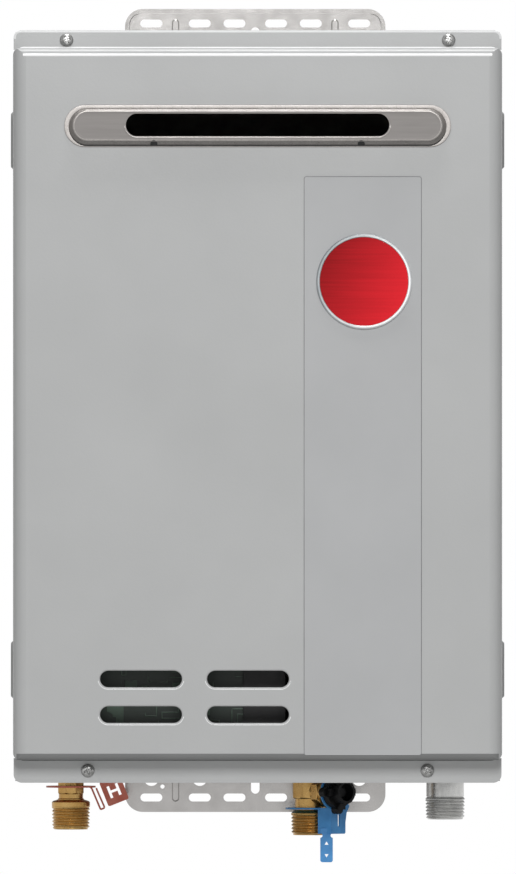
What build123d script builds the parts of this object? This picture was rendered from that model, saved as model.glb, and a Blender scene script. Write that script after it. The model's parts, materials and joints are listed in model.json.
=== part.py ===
from build123d import *

import os
from math import acos, cos, degrees, radians, sin, sqrt

# Outdoor tankless propane water heater that hangs on a wall by two slotted brackets.
# Millimetres. X runs to the viewer's right, Y into the wall and Z up. The wall plane is Y = 0 and
# the origin lies in the middle of the four outer bracket slots. Everything but the brackets is drawn
# about the case's own centre line and moved sideways by CASE_SHIFT when it is written.

# Wall brackets
BRACKET_WIDTH = 190.5
BRACKET_SHEET = 2.0
BRACKET_EDGE = 10.6  # outer edge beyond the slot row
BRACKET_TONGUE = 54.0  # length from the slot row to the end behind the case
BRACKET_CORNER = 13.0
BRACKET_INNER_CORNER = 4.0
BRACKET_RIM = 3.4  # plain rim around the raised field
FIELD_RISE = 0.5
BEAD_RISE = 1.6  # pressed beads carry the case clear of the plate
BEAD_WIDTH = 6.2
BEAD_X = 58.3
BEAD_TOP = 3.4  # bead's outer end beyond the slot row
BEAD_END_GAP = 3.0
SLOT_BEYOND = 12.65  # slot rows beyond the case's ends, before the case's lift
SLOT_LENGTH = 16.0
SLOT_WIDTH = 5.8
SLOT_X = (15.2, 40.6, 76.0)
ROUND_HOLE_R = 5.4
ROUND_HOLE_DROP = 13.9  # round holes inward of the slot row
PILOT_HOLE_R = 1.5
PILOT_X = 67.9
PILOT_DROP = 8.0
CENTRE_SLOT = 24.0
CENTRE_SLOT_WIDTH = 6.2
CENTRE_SLOT_DROP = 2.8
BRACKET_SCREW_X = 27.5
BRACKET_SCREW_DROP = 42.0
SMALL_SCREW_R = 2.0

# Case
SHEET = 1.0
CASE_WIDTH = 350.0
CASE_HEIGHT = 541.0
CASE_DEPTH = 201.4
CASE_SHIFT = 1.7  # case centre line to the right of the bracket centre line
CASE_LIFT = 2.63  # case middle above the bracket middle
CASE_LIP = 10.0  # inward lip on the wrapper's front edges
CASE_BEND = 3.0
PANEL_LIP = 14.0  # depth of the end panels' lips; the floor stands this far above the case's edge
FIT = 0.3  # clearance between nested pieces
PAD_LENGTH = 48.0  # pressed pads on the case sides
PAD_WIDTH = 22.0
PAD_RISE = 4.2
PAD_TAPER = 48.0
PAD_DEPTH = 108.4  # pad centres in front of the case's back
PAD_IN = (77.1, 79.5)  # pad centres in from the case's ends, top and bottom

# Front cover
SKIRT_GAP = 0.5
SKIRT_LENGTH = 15.0
LAP_GAP = 0.3
LAP_RETURN = 8.0
PAN_RISE = 22.0
TOP_STRIP = 13.2
BOTTOM_STRIP = 16.8
STRIP_ROUND = 6.0
SIDE_ROUND = 9.5
EDGE_ROUND = 4.8
CORNER_ROUND = 5.0
FOOT_ROUND = 1.0
COVER_SCREW_SIDE = (37.0, 52.4)  # screw centres in from the case's sides, top pair and bottom pair
COVER_SCREW_IN = (7.2, 8.9)  # screw centres in from the cover's edges, top and bottom
COVER_SCREW_HEAD = 4.9
COVER_SCREW_RISE = 3.2
SCREW_HOLE_R = 2.4
LOUVRE_LENGTH = 61.8
LOUVRE_HEIGHT = 14.8
LOUVRE_LIP = 1.4
LOUVRE_DEPTH = 3.5
LOUVRE_X = (-84.1, -6.9)
LOUVRE_RISE = (49.5, 75.2)  # louvre centres above the cover's lower edge

# Exhaust trim, accent strip and badge
EXHAUST_DROP = 68.8  # exhaust slot centre below the cover's upper edge
EXHAUST_SIDE = 80.0  # slot ends in from the case's sides
EXHAUST_HEIGHT = 16.6
EXHAUST_ROOM = 6.0  # cover's hole beyond the slot's ends
TRIM_SHEET = 0.8
TRIM_FLANGE = (89.0, 13.7, -0.7)  # length and height beyond the slot, centre above the slot centre
TRIM_BASE = (82.0, 9.8, -1.4)
TRIM_FACE = (75.0, 4.7, -0.5)
TRIM_RISE = 8.0
TRIM_ROUND = 1.6
TRIM_LIP = 12.0  # slot lip's reach behind the cover's face
TRIM_DRAIN_X = 74.8
TRIM_DRAIN_R = 2.15
ACCENT_X = (33.8, 117.9)
ACCENT_DROP = 106.3  # strip's top below the cover's upper edge
ACCENT_FOOT = 20.3  # strip's end above the cover's lower edge
ACCENT_SHEET = 0.8
ACCENT_CORNER = 1.5
BADGE_X = 76.8
BADGE_DROP = 181.7
BADGE_R = 34.5
BADGE_RIM = 2.5
BADGE_RISE = 2.2
BADGE_FLOOR = 0.6
BADGE_FACE = 0.9
BADGE_FIT = 0.1

# Pipe fittings below the case
THREAD_R = 13.35  # three-quarter inch taper thread
THREAD_CHAMFER = 1.0
THREAD_BORE_R = 9.0
HOT_SIDE = 39.3  # hot outlet in from the case's left-hand side
HOT_Y = -104.0
COLD_X, COLD_Y = 38.2, -110.0
GAS_SIDE = 38.6  # gas inlet in from the case's right-hand side
GAS_Y = -95.0
HOT_DROP = (10.9, 14.1, 16.1, 36.7)  # octagon end, neck end, thread start and thread end below the case
COLD_DROP = (14.3, 22.4, 24.0, 40.7)  # collar end, body end, thread start and thread end below the case
GAS_DROP = (13.4, 29.5)  # plain end and thread end below the case
OCTAGON_FLATS = 18.5
NECK_STEP = 0.4  # hot outlet's neck inside its octagon
COLD_COLLAR_FLATS = 24.8
COLD_BODY_R = 11.1
GAS_TOP_R = 11.0
WATER_BORE_R = 6.5
FITTING_FLANGE = (50.0, 30.0, 3.0)
FLANGE_CORNER = 6.0
FITTING_SCREW_X = 19.0
SPIGOT = 16.0  # fittings' reach above the floor
SPIGOT_R = 10.0
GROMMET_R = 11.0
GROMMET_LIP = 3.0
GROMMET_IN = 55.0  # grommet behind the case's front
GROMMET_SIDE = 41.4  # grommet to the left of the gas inlet

# Filter branch, knob and tags
BRANCH_YAW = 42.0  # branch turned to the right of straight out
BRANCH_DROP = 9.3  # branch axis below the case
BRANCH_R = 9.0
BRANCH_END = 24.0
BRANCH_BORE_R = 7.0
BRANCH_HEX = 6.0  # length of the branch's hexagon
KNOB_START = 26.4
KNOB_LENGTH = 13.2
KNOB_DISC = 5.6  # length of the lobed disc
KNOB_R = 11.6
KNOB_LOBES = 4
KNOB_LOBE_R = 3.3
KNOB_REACH = 12.5  # lobe centres from the knob's axis
KNOB_RIB = (5.2, 9.0)  # width and length of the wings
KNOB_HUB_R = 8.4
KNOB_HOLLOW_R = 6.4
STEM_R = 5.6
STEM_LENGTH = 14.0  # stem's reach into the branch
SEAL_R = 1.1
TAG_SHEET = 1.2
TAG_RING_R = 18.0
COLD_TAG_PLATE = (13.2, 39.6)  # plate's width, and its end below the case
COLD_TAG_EYE = 12.6  # plate's round part about the branch
COLD_TAG_SIDE = 4.5  # plate's middle to the side of the branch
COLD_TAG_TAB = (9.1, 60.2)  # hanging tab's width, and its end below the case
COLD_TAG_SLIT = (1.6, 9.0)
COLD_TAG_HOLE_R = 1.0
COLD_TAG_MARK = (1.6, 5.1, 13.5)  # size and heights of the tab's three-cornered holes
HOT_TAG_DROP = 6.3  # hot tag's ring below the case
HOT_TAG_PLATE = (17.6, 16.4, 21.7)  # width, height and tilt in degrees
RUNNING = 0.06  # radial running clearance

# Heat exchanger stack, between the fan and the exhaust
STACK_SIDE = 71.0  # room between the stack and the case's sides
STACK_STANDOFF = 35.0  # stack behind face from the case's back
STACK_ROOM = 35.4  # stack front face behind the case's front
BURNER_BOX_HEIGHT = 75.0
STACK_FLANGE = 6.0
FLANGE_SHEET = 1.2
STACK_CORNER = 8.0
STACK_TAB = (62.0, 84.0, 22.0)  # tabs to the case's back: limits in X and height
TUBE_R = 7.5
TUBE_WALL = 1.0
TUBE_PITCH = 26.0
TUBE_DROP = 20.0  # tube centres below the exchanger's top
TUBE_BEND = 13.0
TUBE_RUN = 1.0  # straight left between a bend and a joint
COIL_PITCH = 50.0  # least rise of one turn where there is room
COIL_GAP = 1.0
COIL_LIFT = 4.0  # coil's joint above the burner box
COIL_BEND = 18.0
RISER_GAP = 8.0
HOT_RISER_GAP = 13.5
RISER_IN = 18.0  # cold riser in front of the stack's back
BRAZE = 0.15  # gap at the brazed holes
FIN_COUNT = 14
FIN_SHEET = 0.6
FIN_HEIGHT = 34.0
BURNER_COUNT = 12
BURNER_SHEET = 9.0
BURNER_HEIGHT = 46.0
BURNER_CORNER = 9.0
BURNER_MARGIN = 12.0
NOZZLE_RISE = 24.0
NOZZLE_R = 2.6
RAIL = (14.0, 16.0, 3.0)  # gas rail's depth, height and corner
RAIL_GAP = 6.0
HOOD_RISE = 55.0  # exhaust centre above the exchanger's top
HOOD_HEAD = 35.0  # hood's top above the exhaust centre
HOOD_KNEE = 36.0  # hood's upright back above the exchanger's top
HOOD_SLOPE = 18.0  # hood's flat roof behind the stack's middle
DUCT_ROOM = (14.0, 9.4)  # duct's length and height beyond the slot's
DUCT_COLLAR = 13.0
GASKET = 6.0

# Fan
FAN_X = -62.0
FAN_INSET = 2.0  # fan in front of the stack's back
FAN_DEPTH = 48.0
FAN_WALL = 1.5
FAN_R = 48.0  # first radius of the scroll
FAN_STEP = 4.5  # half side of the square that the scroll's centres stand on
FAN_TONGUE = 30.0  # degrees round the scroll to the throat's near wall
FAN_THROAT = 80.0  # throat's top above the fan axis
FAN_FLANGE = 8.0
FAN_FLANGE_SHEET = 2.0
FAN_INLET_R = 27.0
FAN_FLOOR_GAP = 4.0
FAN_GAP = 3.0
FAN_BLADES = 20
FAN_BLADE = (7.6, 1.1, 35.0)  # blade's chord, sheet and set in degrees
FAN_DISC = 1.5
FAN_HUB = (8.0, 14.0)  # hub's radius and length
MOTOR_R = 28.0
MOTOR_LENGTH = 34.0
MOTOR_BORE = 22.0
SHAFT_R = 3.0

# Gas valve, water parts, electronics
VALVE_RISE = 60.0  # gas valve above the floor
VALVE_SIZE = (48.0, 50.0, 66.0)
VALVE_CORNER = 5.0
VALVE_BOSS = (12.0, 5.0)  # outlet boss's radius and height
GAS_PIPE_R = 6.5
COIL_R = 13.0
COIL_LENGTH = 34.0
COIL_SPACING = 32.0
PLUNGER_R = 5.0
PLUNGER_LENGTH = 22.0
PLUNGER_SEAT = 8.0  # plunger's reach into the valve
SENSOR_R = 15.0
SENSOR_LENGTH = 34.0
SENSOR_BORE_R = 9.5
SENSOR_BAR = (5.0, 3.0)  # spider's width and thickness
AXLE_R = 1.2
SPOOL_R = 7.0
SPOOL_END = 5.0  # spool bore's end wall
WATER_VALVE = (36.0, 34.0, 40.0)
VALVE_MOTOR_R = 16.0
VALVE_MOTOR_LENGTH = 24.0
VALVE_STEM = 10.0
PIPE_BEND = 14.0
HOT_BEND = 24.0
CLIP_WALL = 2.2
CLIP_LENGTH = 12.0
ELECTRODE_X = (-32.0, 14.0, 40.0)
ELECTRODE_DROP = 9.0  # electrodes below the burner box's top
ELECTRODE_R = 1.2
CERAMIC_R = 4.0
CERAMIC_COLLAR_R = 6.0
CERAMIC_OUT = 20.0
CERAMIC_IN = 8.0
ELECTRODE_OUT = 24.0
ELECTRODE_IN = 34.0
IGNITER_SIZE = (28.0, 40.0, 58.0)
IGNITER_ROOM = 9.0  # igniter behind the case's front
TRAY_X = (-124.0, 20.0)
TRAY_RISE = (5.0, 94.0)  # tray's ends above the floor
TRAY_ROOM = 27.0  # tray's back behind the case's front
TRAY_DEPTH = 14.0
TRAY_WALL = 2.0
TRAY_LEG = (14.0, 4.0)
BOARD_RIGHT = -10.5
BOARD_SHEET = 1.6
POST_R = 3.0
POST_IN = 8.0
RELAY = (16.0, 14.0, 13.0)
RELAY_PITCH = 22.0
CAPACITOR_R = 5.5
CAPACITOR_HEIGHT = 16.0
SOCKET = (18.0, 9.0, 7.0)
SOCKET_PITCH = 25.0
LEAD_R = 2.5
LEAD_BEND = 6.0
LEAD_ARCH = 20.0  # fan lead's rise over the tray
TERMINAL = (36.0, 18.0, 16.0)
TERMINAL_GAP = 18.0  # terminal block in front of the grommet
TERMINAL_PITCH = 11.0
TERMINAL_HOLE_R = 3.2

# Planes and levels that follow from the sizes above
SLOT_SPAN = CASE_HEIGHT + 2 * SLOT_BEYOND
BACK_Y = -(BRACKET_SHEET + BEAD_RISE)
BACK_INNER = BACK_Y - SHEET
CASE_FRONT = BACK_Y - CASE_DEPTH
FLANGE_FRONT = CASE_FRONT - SHEET
FRONT_Y = FLANGE_FRONT - PAN_RISE
CASE_TOP = CASE_LIFT + CASE_HEIGHT / 2
CASE_BOTTOM = CASE_LIFT - CASE_HEIGHT / 2
FLOOR = CASE_BOTTOM + PANEL_LIP
COVER_TOP = CASE_TOP + LAP_GAP + SHEET
COVER_BOTTOM = CASE_BOTTOM - LAP_GAP - SHEET
COVER_WIDTH = CASE_WIDTH + 2 * (SKIRT_GAP + SHEET)
COVER_SCREW_X = [CASE_WIDTH / 2 - inset for inset in COVER_SCREW_SIDE]
PAN_TOP = COVER_TOP - TOP_STRIP
PAN_BOTTOM = COVER_BOTTOM + BOTTOM_STRIP
PAD_Y = BACK_Y - PAD_DEPTH
PAD_Z = (CASE_TOP - PAD_IN[0], CASE_BOTTOM + PAD_IN[1])
EXHAUST_Z = COVER_TOP - EXHAUST_DROP
EXHAUST_LENGTH = CASE_WIDTH - 2 * EXHAUST_SIDE
DUCT_LENGTH = EXHAUST_LENGTH + DUCT_ROOM[0]
DUCT_HEIGHT = EXHAUST_HEIGHT + DUCT_ROOM[1]
DUCT_END = FRONT_Y + SHEET + GASKET
HOT_X = HOT_SIDE - CASE_WIDTH / 2
GAS_X = CASE_WIDTH / 2 - GAS_SIDE
GROMMET_AT = (GAS_X - GROMMET_SIDE, CASE_FRONT + GROMMET_IN)
NECK_R = OCTAGON_FLATS / 2 - NECK_STEP
OCTAGON_R = OCTAGON_FLATS / 2 / cos(radians(22.5))
COLD_COLLAR_R = COLD_COLLAR_FLATS / 2 / cos(radians(22.5))
GAS_R = THREAD_R + FIT
PIPE_HOLES = (
    (HOT_X, HOT_Y, OCTAGON_R + FIT),
    (COLD_X, COLD_Y, COLD_COLLAR_R + FIT),
    (GAS_X, GAS_Y, GAS_R + FIT),
)
STACK_WIDTH = CASE_WIDTH - 2 * STACK_SIDE
STACK_BACK = BACK_INNER - STACK_STANDOFF
STACK_FRONT = CASE_FRONT + STACK_ROOM
STACK_DEPTH = STACK_BACK - STACK_FRONT
STACK_MIDDLE = (STACK_BACK + STACK_FRONT) / 2
FAN_Z = FLOOR + FAN_FLOOR_GAP + FAN_R + 5 * FAN_STEP
FAN_BACK = STACK_BACK - FAN_INSET
FAN_FRONT = FAN_BACK - FAN_DEPTH
BOX_BOTTOM = FAN_Z + FAN_THROAT
BOX_TOP = BOX_BOTTOM + BURNER_BOX_HEIGHT
EXCHANGER_TOP = EXHAUST_Z - HOOD_RISE
EXCHANGER_HEIGHT = EXCHANGER_TOP - BOX_TOP
TUBE_Z = EXCHANGER_TOP - TUBE_DROP
TUBE_PASSES = 1 + 2 * int((STACK_DEPTH - TUBE_PITCH) / TUBE_PITCH / 2 + 0.01)
TUBE_FIRST_Y = STACK_MIDDLE - TUBE_PITCH * (TUBE_PASSES - 1) / 2
TUBE_LAST_Y = STACK_MIDDLE + TUBE_PITCH * (TUBE_PASSES - 1) / 2
RISER_Y = STACK_BACK - RISER_IN
COLD_RISER_X = STACK_WIDTH / 2 + STACK_FLANGE + TUBE_R + RISER_GAP
HOT_RISER_X = -(STACK_WIDTH / 2 + STACK_FLANGE + TUBE_R + HOT_RISER_GAP)
COIL_SIDE = STACK_WIDTH / 2 + TUBE_R + COIL_GAP
COIL_FRONT = STACK_FRONT - TUBE_R - COIL_GAP
COIL_BACK = STACK_BACK + TUBE_R + COIL_GAP
COIL_START_Z = BOX_TOP + COIL_LIFT
COIL_FIRST_Z = COIL_START_Z + TUBE_BEND + TUBE_RUN
COIL_END_Z = TUBE_Z - TUBE_BEND - TUBE_RUN
COIL_LAST_Z = COIL_END_Z - TUBE_BEND - TUBE_RUN
COIL_TURNS = max(1, int((COIL_LAST_Z - COIL_FIRST_Z) / COIL_PITCH))
NOZZLE_Z = BOX_BOTTOM + NOZZLE_RISE
ELECTRODE_Z = BOX_TOP - ELECTRODE_DROP
RAIL_BACK = STACK_FRONT - RAIL_GAP
RAIL_MIDDLE = RAIL_BACK - RAIL[0] / 2
RAIL_HALF = STACK_WIDTH / 2 - 4
INLET_TOP = FLOOR + SPIGOT
SENSOR_TOP = INLET_TOP + SENSOR_LENGTH
WATER_VALVE_TOP = SENSOR_TOP + WATER_VALVE[2]
WATER_VALVE_FRONT = COLD_Y - WATER_VALVE[1] / 2
SPOOL_Z = SENSOR_TOP + WATER_VALVE[2] / 2
SPOOL_BACK = COLD_Y + WATER_VALVE[1] / 2 - SPOOL_END
GAS_VALVE_Z = FLOOR + VALVE_RISE
GAS_VALVE_FRONT = GAS_Y - VALVE_SIZE[1] / 2
PLUNGER_Z = [GAS_VALVE_Z + VALVE_SIZE[2] / 2 + side * COIL_SPACING / 2 for side in (-1, 1)]
BRANCH_Z = CASE_BOTTOM - BRANCH_DROP
BRANCH_OUT = (sin(radians(BRANCH_YAW)), -cos(radians(BRANCH_YAW)), 0.0)
BRANCH_SIDE = (cos(radians(BRANCH_YAW)), sin(radians(BRANCH_YAW)), 0.0)
BRANCH = Plane(origin=(COLD_X, COLD_Y, BRANCH_Z), x_dir=BRANCH_SIDE, z_dir=BRANCH_OUT)
STEM_START = BRANCH_END - STEM_LENGTH
IGNITER_FRONT = CASE_FRONT + IGNITER_ROOM
TRAY_BACK = CASE_FRONT + TRAY_ROOM
TRAY_FRONT = TRAY_BACK - TRAY_DEPTH
TRAY_Z = [FLOOR + rise for rise in TRAY_RISE]
BOARD_BACK = TRAY_BACK - TRAY_DEPTH / 2
BOARD_FRONT = BOARD_BACK - BOARD_SHEET
BOARD_X = (TRAY_X[0] + TRAY_WALL + FIT, BOARD_RIGHT)


def block(x, y, z):
    """Box between three pairs of limits."""
    sizes = [limits[1] - limits[0] for limits in (x, y, z)]
    middles = [(limits[0] + limits[1]) / 2 for limits in (x, y, z)]
    return Pos(*middles) * Box(*sizes)


def facing(sketch, y, depth):
    """Sketch in X and Z, extruded from the plane y towards the viewer."""
    return extrude(Plane.XZ.offset(-y) * sketch, depth)


def upright(sketch, z, height):
    """Sketch in X and Y, extruded upwards from the level z."""
    return extrude(Plane.XY.offset(z) * sketch, height)


def along_x(sketch, x, length):
    """Sketch in Y and Z, extruded to the right from x."""
    return extrude(Plane.YZ.offset(x) * sketch, length)


def rod(start, end, radius):
    """Cylinder between two points."""
    axis = Vector(*end) - Vector(*start)
    return extrude(Plane(origin=start, z_dir=axis) * Circle(radius), axis.length)


def turned(outline):
    """Solid of revolution about Z from a closed outline of radii and levels."""
    return revolve(Plane.XZ * make_face(Polyline(*outline, close=True)), Axis.Z)


def bent_sheet(points, radius, thickness):
    """Face of a folded sheet: a line with rounded corners and its offset to the left."""
    line = FilletPolyline(*points, radius=radius)
    return make_face(offset(line, amount=thickness, side=Side.LEFT))


def pipe(points, bends, radius, wall):
    """Tube along straight runs and arcs; a wall of zero makes it solid."""
    path = FilletPolyline(*points, radius=bends)
    section = Circle(radius)
    if wall:
        section = section - Circle(radius - wall)
    return sweep(Plane(origin=path @ 0, z_dir=path % 0) * section, path=path)


def stadium(length, height, x, z):
    """Long round-ended outline about a centre."""
    return Pos(x, z) * SlotOverall(length, height)


def pan_screw(head_r, head_height, shank_r, shank):
    """Pan-head screw, head upwards from Z = 0 and shank below."""
    rise = head_height * 0.55
    return turned([
        (0, head_height), (head_r * 0.62, head_height), (head_r, rise), (head_r, 0),
        (shank_r, 0), (shank_r, -shank), (0, -shank),
    ])


def wall_bracket():
    """Bracket about its slot row, outer edge upwards: raised field, beads, slots and holes."""
    half = BRACKET_WIDTH / 2
    rounds = [BRACKET_CORNER, BRACKET_CORNER, BRACKET_INNER_CORNER, BRACKET_INNER_CORNER]
    corners = [
        (half, BRACKET_EDGE), (-half, BRACKET_EDGE), (-half, -BRACKET_TONGUE), (half, -BRACKET_TONGUE),
    ]
    outline = make_face(FilletPolyline(*corners, radius=rounds, close=True))
    field = offset(outline, amount=-BRACKET_RIM)
    plate = facing(outline, 0, BRACKET_SHEET) + facing(field, -BRACKET_SHEET, FIELD_RISE)
    bead_length = BEAD_TOP + BRACKET_TONGUE - BRACKET_RIM - BEAD_END_GAP
    bead_z = BEAD_TOP - bead_length / 2
    for side in (-1, 1):
        bead = Pos(side * BEAD_X, bead_z) * Rot(0, 0, 90) * SlotOverall(bead_length, BEAD_WIDTH)
        hollow = offset(bead, amount=-BRACKET_SHEET * 0.6)
        plate += extrude(Plane.XZ.offset(BRACKET_SHEET) * bead, BEAD_RISE, taper=38)
        plate -= extrude(Plane.XZ * hollow, BEAD_RISE * 0.8, taper=25)
    centre_z = -CENTRE_SLOT_DROP - CENTRE_SLOT / 2
    holes = Pos(0, centre_z) * Rot(0, 0, 90) * SlotOverall(CENTRE_SLOT, CENTRE_SLOT_WIDTH)
    for x in SLOT_X:
        for side in (-1, 1):
            holes += stadium(SLOT_LENGTH, SLOT_WIDTH, side * x, 0)
    for side in (-1, 1):
        for x in SLOT_X[1:]:
            holes += Pos(side * x, -ROUND_HOLE_DROP) * Circle(ROUND_HOLE_R)
        holes += Pos(side * PILOT_X, -PILOT_DROP) * Circle(PILOT_HOLE_R)
        holes += Pos(side * BRACKET_SCREW_X, -BRACKET_SCREW_DROP) * Circle(SMALL_SCREW_R + FIT)
    return plate - facing(holes, 1, BRACKET_SHEET + BEAD_RISE + 2)


def upper_bracket():
    """Bracket above the case."""
    return Pos(0, 0, SLOT_SPAN / 2) * wall_bracket()


def lower_bracket():
    """The same bracket turned over below the case."""
    return Pos(0, 0, -SLOT_SPAN / 2) * mirror(wall_bracket(), about=Plane.XY)


def bracket_screw_points():
    """Screw positions on the case's back, in case coordinates."""
    reach = SLOT_SPAN / 2 - BRACKET_SCREW_DROP
    return [
        (side * BRACKET_SCREW_X - CASE_SHIFT, end * reach) for side in (-1, 1) for end in (-1, 1)
    ]


def side_pad(z):
    """Pressed stadium pad on the right-hand side and the hollow behind it."""
    spot = Pos(PAD_Y, z) * Rot(0, 0, 90)
    outside = Plane.YZ.offset(CASE_WIDTH / 2) * spot * SlotOverall(PAD_LENGTH, PAD_WIDTH)
    inner = SlotOverall(PAD_LENGTH - 2 * SHEET, PAD_WIDTH - 2 * SHEET)
    inside = Plane.YZ.offset(CASE_WIDTH / 2 - SHEET) * spot * inner
    return extrude(outside, PAD_RISE, taper=PAD_TAPER), extrude(inside, PAD_RISE, taper=PAD_TAPER)


def case_wrapper():
    """Back and sides of the case folded from one sheet, with lips at the front."""
    half = CASE_WIDTH / 2
    points = [
        (half - CASE_LIP, CASE_FRONT), (half, CASE_FRONT), (half, BACK_Y),
        (-half, BACK_Y), (-half, CASE_FRONT), (CASE_LIP - half, CASE_FRONT),
    ]
    shell = upright(bent_sheet(points, CASE_BEND, SHEET), CASE_BOTTOM, CASE_HEIGHT - SHEET)
    for z in PAD_Z:
        boss, hollow = side_pad(z)
        shell = shell + boss + mirror(boss, about=Plane.YZ)
        shell = shell - hollow - mirror(hollow, about=Plane.YZ)
    for x, z in bracket_screw_points():
        shell -= rod((x, BACK_Y + 1, z), (x, BACK_INNER - 1, z), SMALL_SCREW_R + FIT)
    return shell


def end_panel(half, back, screw_x, screw_level):
    """Shallow tray that closes the case's end: outer face at Z = 0, lips downwards."""
    inner = CASE_WIDTH / 2 - SHEET - FIT
    front_half = CASE_WIDTH / 2 - CASE_LIP - FIT
    lip = (-PANEL_LIP, -SHEET / 2)
    tray = block((-front_half, front_half), (CASE_FRONT, CASE_FRONT + SHEET), lip)
    plate = block((-half, half), (CASE_FRONT + SHEET + FIT, back), (-SHEET, 0))
    plate = fillet(plate.edges().filter_by(Axis.Z), CASE_BEND)
    tray += plate + block((-front_half, front_half), (CASE_FRONT, CASE_FRONT + 3), (-SHEET, 0))
    lip_front = CASE_FRONT + SHEET + CASE_BEND
    lip_back = BACK_INNER - CASE_BEND
    for side in (-1, 1):
        limits = sorted((side * inner, side * (inner - SHEET)))
        tray += block(limits, (lip_front, lip_back), lip)
        x = side * screw_x
        start, end = (x, CASE_FRONT - 1, screw_level), (x, CASE_FRONT + SHEET + 1, screw_level)
        tray -= rod(start, end, SCREW_HOLE_R)
    lip_y = BACK_INNER - FIT
    return tray + block((-front_half, front_half), (lip_y - SHEET, lip_y), lip)


def top_panel():
    """Roof of the case, laid over the wrapper's upper edge."""
    level = COVER_TOP - COVER_SCREW_IN[0] - CASE_TOP
    panel = end_panel(CASE_WIDTH / 2, BACK_Y, COVER_SCREW_X[0], level)
    return Pos(0, 0, CASE_TOP) * panel


def bottom_panel():
    """Floor inside the wrapper with holes for the pipes, their screws and the cable grommet."""
    level = COVER_BOTTOM + COVER_SCREW_IN[1] - FLOOR
    half = CASE_WIDTH / 2 - SHEET - FIT
    panel = end_panel(half, BACK_INNER - FIT, COVER_SCREW_X[1], level)
    holes = Pos(*GROMMET_AT) * Circle(GROMMET_R)
    for x, y, radius in PIPE_HOLES:
        holes += Pos(x, y) * Circle(radius)
        for side in (-1, 1):
            holes += Pos(x + side * FITTING_SCREW_X, y) * Circle(SMALL_SCREW_R + FIT)
    return Pos(0, 0, FLOOR) * (panel - upright(holes, -SHEET - 1, SHEET + 2))


def case_screws():
    """Screws that hold the brackets to the case's back and the fittings to its floor."""
    head = 2 * SMALL_SCREW_R
    rise = 1.2 * SMALL_SCREW_R
    shank = SHEET + BEAD_RISE + BRACKET_SHEET - FIT
    screws = []
    for x, z in bracket_screw_points():
        screws.append(Pos(x, BACK_INNER, z) * Rot(90, 0, 0) * pan_screw(head, rise, SMALL_SCREW_R, shank))
    shank = SHEET + FITTING_FLANGE[2] - FIT
    for x, y, radius in PIPE_HOLES:
        for side in (-1, 1):
            spot = Pos(x + side * FITTING_SCREW_X, y, FLOOR - SHEET) * Rot(180, 0, 0)
            screws.append(spot * pan_screw(head, rise, SMALL_SCREW_R, shank))
    return screws


def pan_solid(inset, back):
    """Solid that fills the cover's raised pan, drawn in from its outside by an inset."""
    half = COVER_WIDTH / 2 - inset
    body = block((-half, half), (FRONT_Y + inset, back), (PAN_BOTTOM + inset, PAN_TOP - inset))
    plan = fillet(body.edges().filter_by(Axis.Z).group_by(Axis.Y)[0], SIDE_ROUND - inset)
    side = fillet(body.edges().filter_by(Axis.X).group_by(Axis.Y)[0], EDGE_ROUND - inset)
    front = fillet(body.edges().filter_by(Axis.Y), CORNER_ROUND - inset)
    return plan & side & front


def screw_strip(height):
    """Cover's strip from the pan's wall at Z = 0 to its edge, with foot curve and return lip."""
    half = COVER_WIDTH / 2 - FIT
    corners = [(-half, -SHEET), (half, -SHEET), (half, height), (-half, height)]
    outline = make_face(FilletPolyline(*corners, radius=[0, 0, STRIP_ROUND, STRIP_ROUND], close=True))
    strip = facing(outline, CASE_FRONT, SHEET)
    lip_half = half - STRIP_ROUND - 2
    lip = block((-lip_half, lip_half), (FLANGE_FRONT, CASE_FRONT + LAP_RETURN), (height - SHEET, height))
    middle = FOOT_ROUND * (1 - sqrt(0.5))
    foot = make_face([
        Line((FLANGE_FRONT, 0), (FLANGE_FRONT, FOOT_ROUND)),
        ThreePointArc(
            (FLANGE_FRONT, FOOT_ROUND), (FLANGE_FRONT - middle, middle), (FLANGE_FRONT - FOOT_ROUND, 0)
        ),
        Line((FLANGE_FRONT - FOOT_ROUND, 0), (FLANGE_FRONT, 0)),
    ])
    foot_half = COVER_WIDTH / 2 - CORNER_ROUND
    return strip + lip + along_x(foot, -foot_half, 2 * foot_half)


def louvre_collar(x, z):
    """Inward rolled lip of one louvre slot."""
    outer = stadium(LOUVRE_LENGTH, LOUVRE_HEIGHT, x, z)
    inner = stadium(LOUVRE_LENGTH - 2 * LOUVRE_LIP, LOUVRE_HEIGHT - 2 * LOUVRE_LIP, x, z)
    collar = facing(outer - inner, FRONT_Y + LOUVRE_DEPTH, LOUVRE_DEPTH)
    front_inner = collar.faces().sort_by(Axis.Y)[0].inner_wires()[0].edges()
    return fillet(front_inner, LOUVRE_LIP - 0.2)


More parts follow.
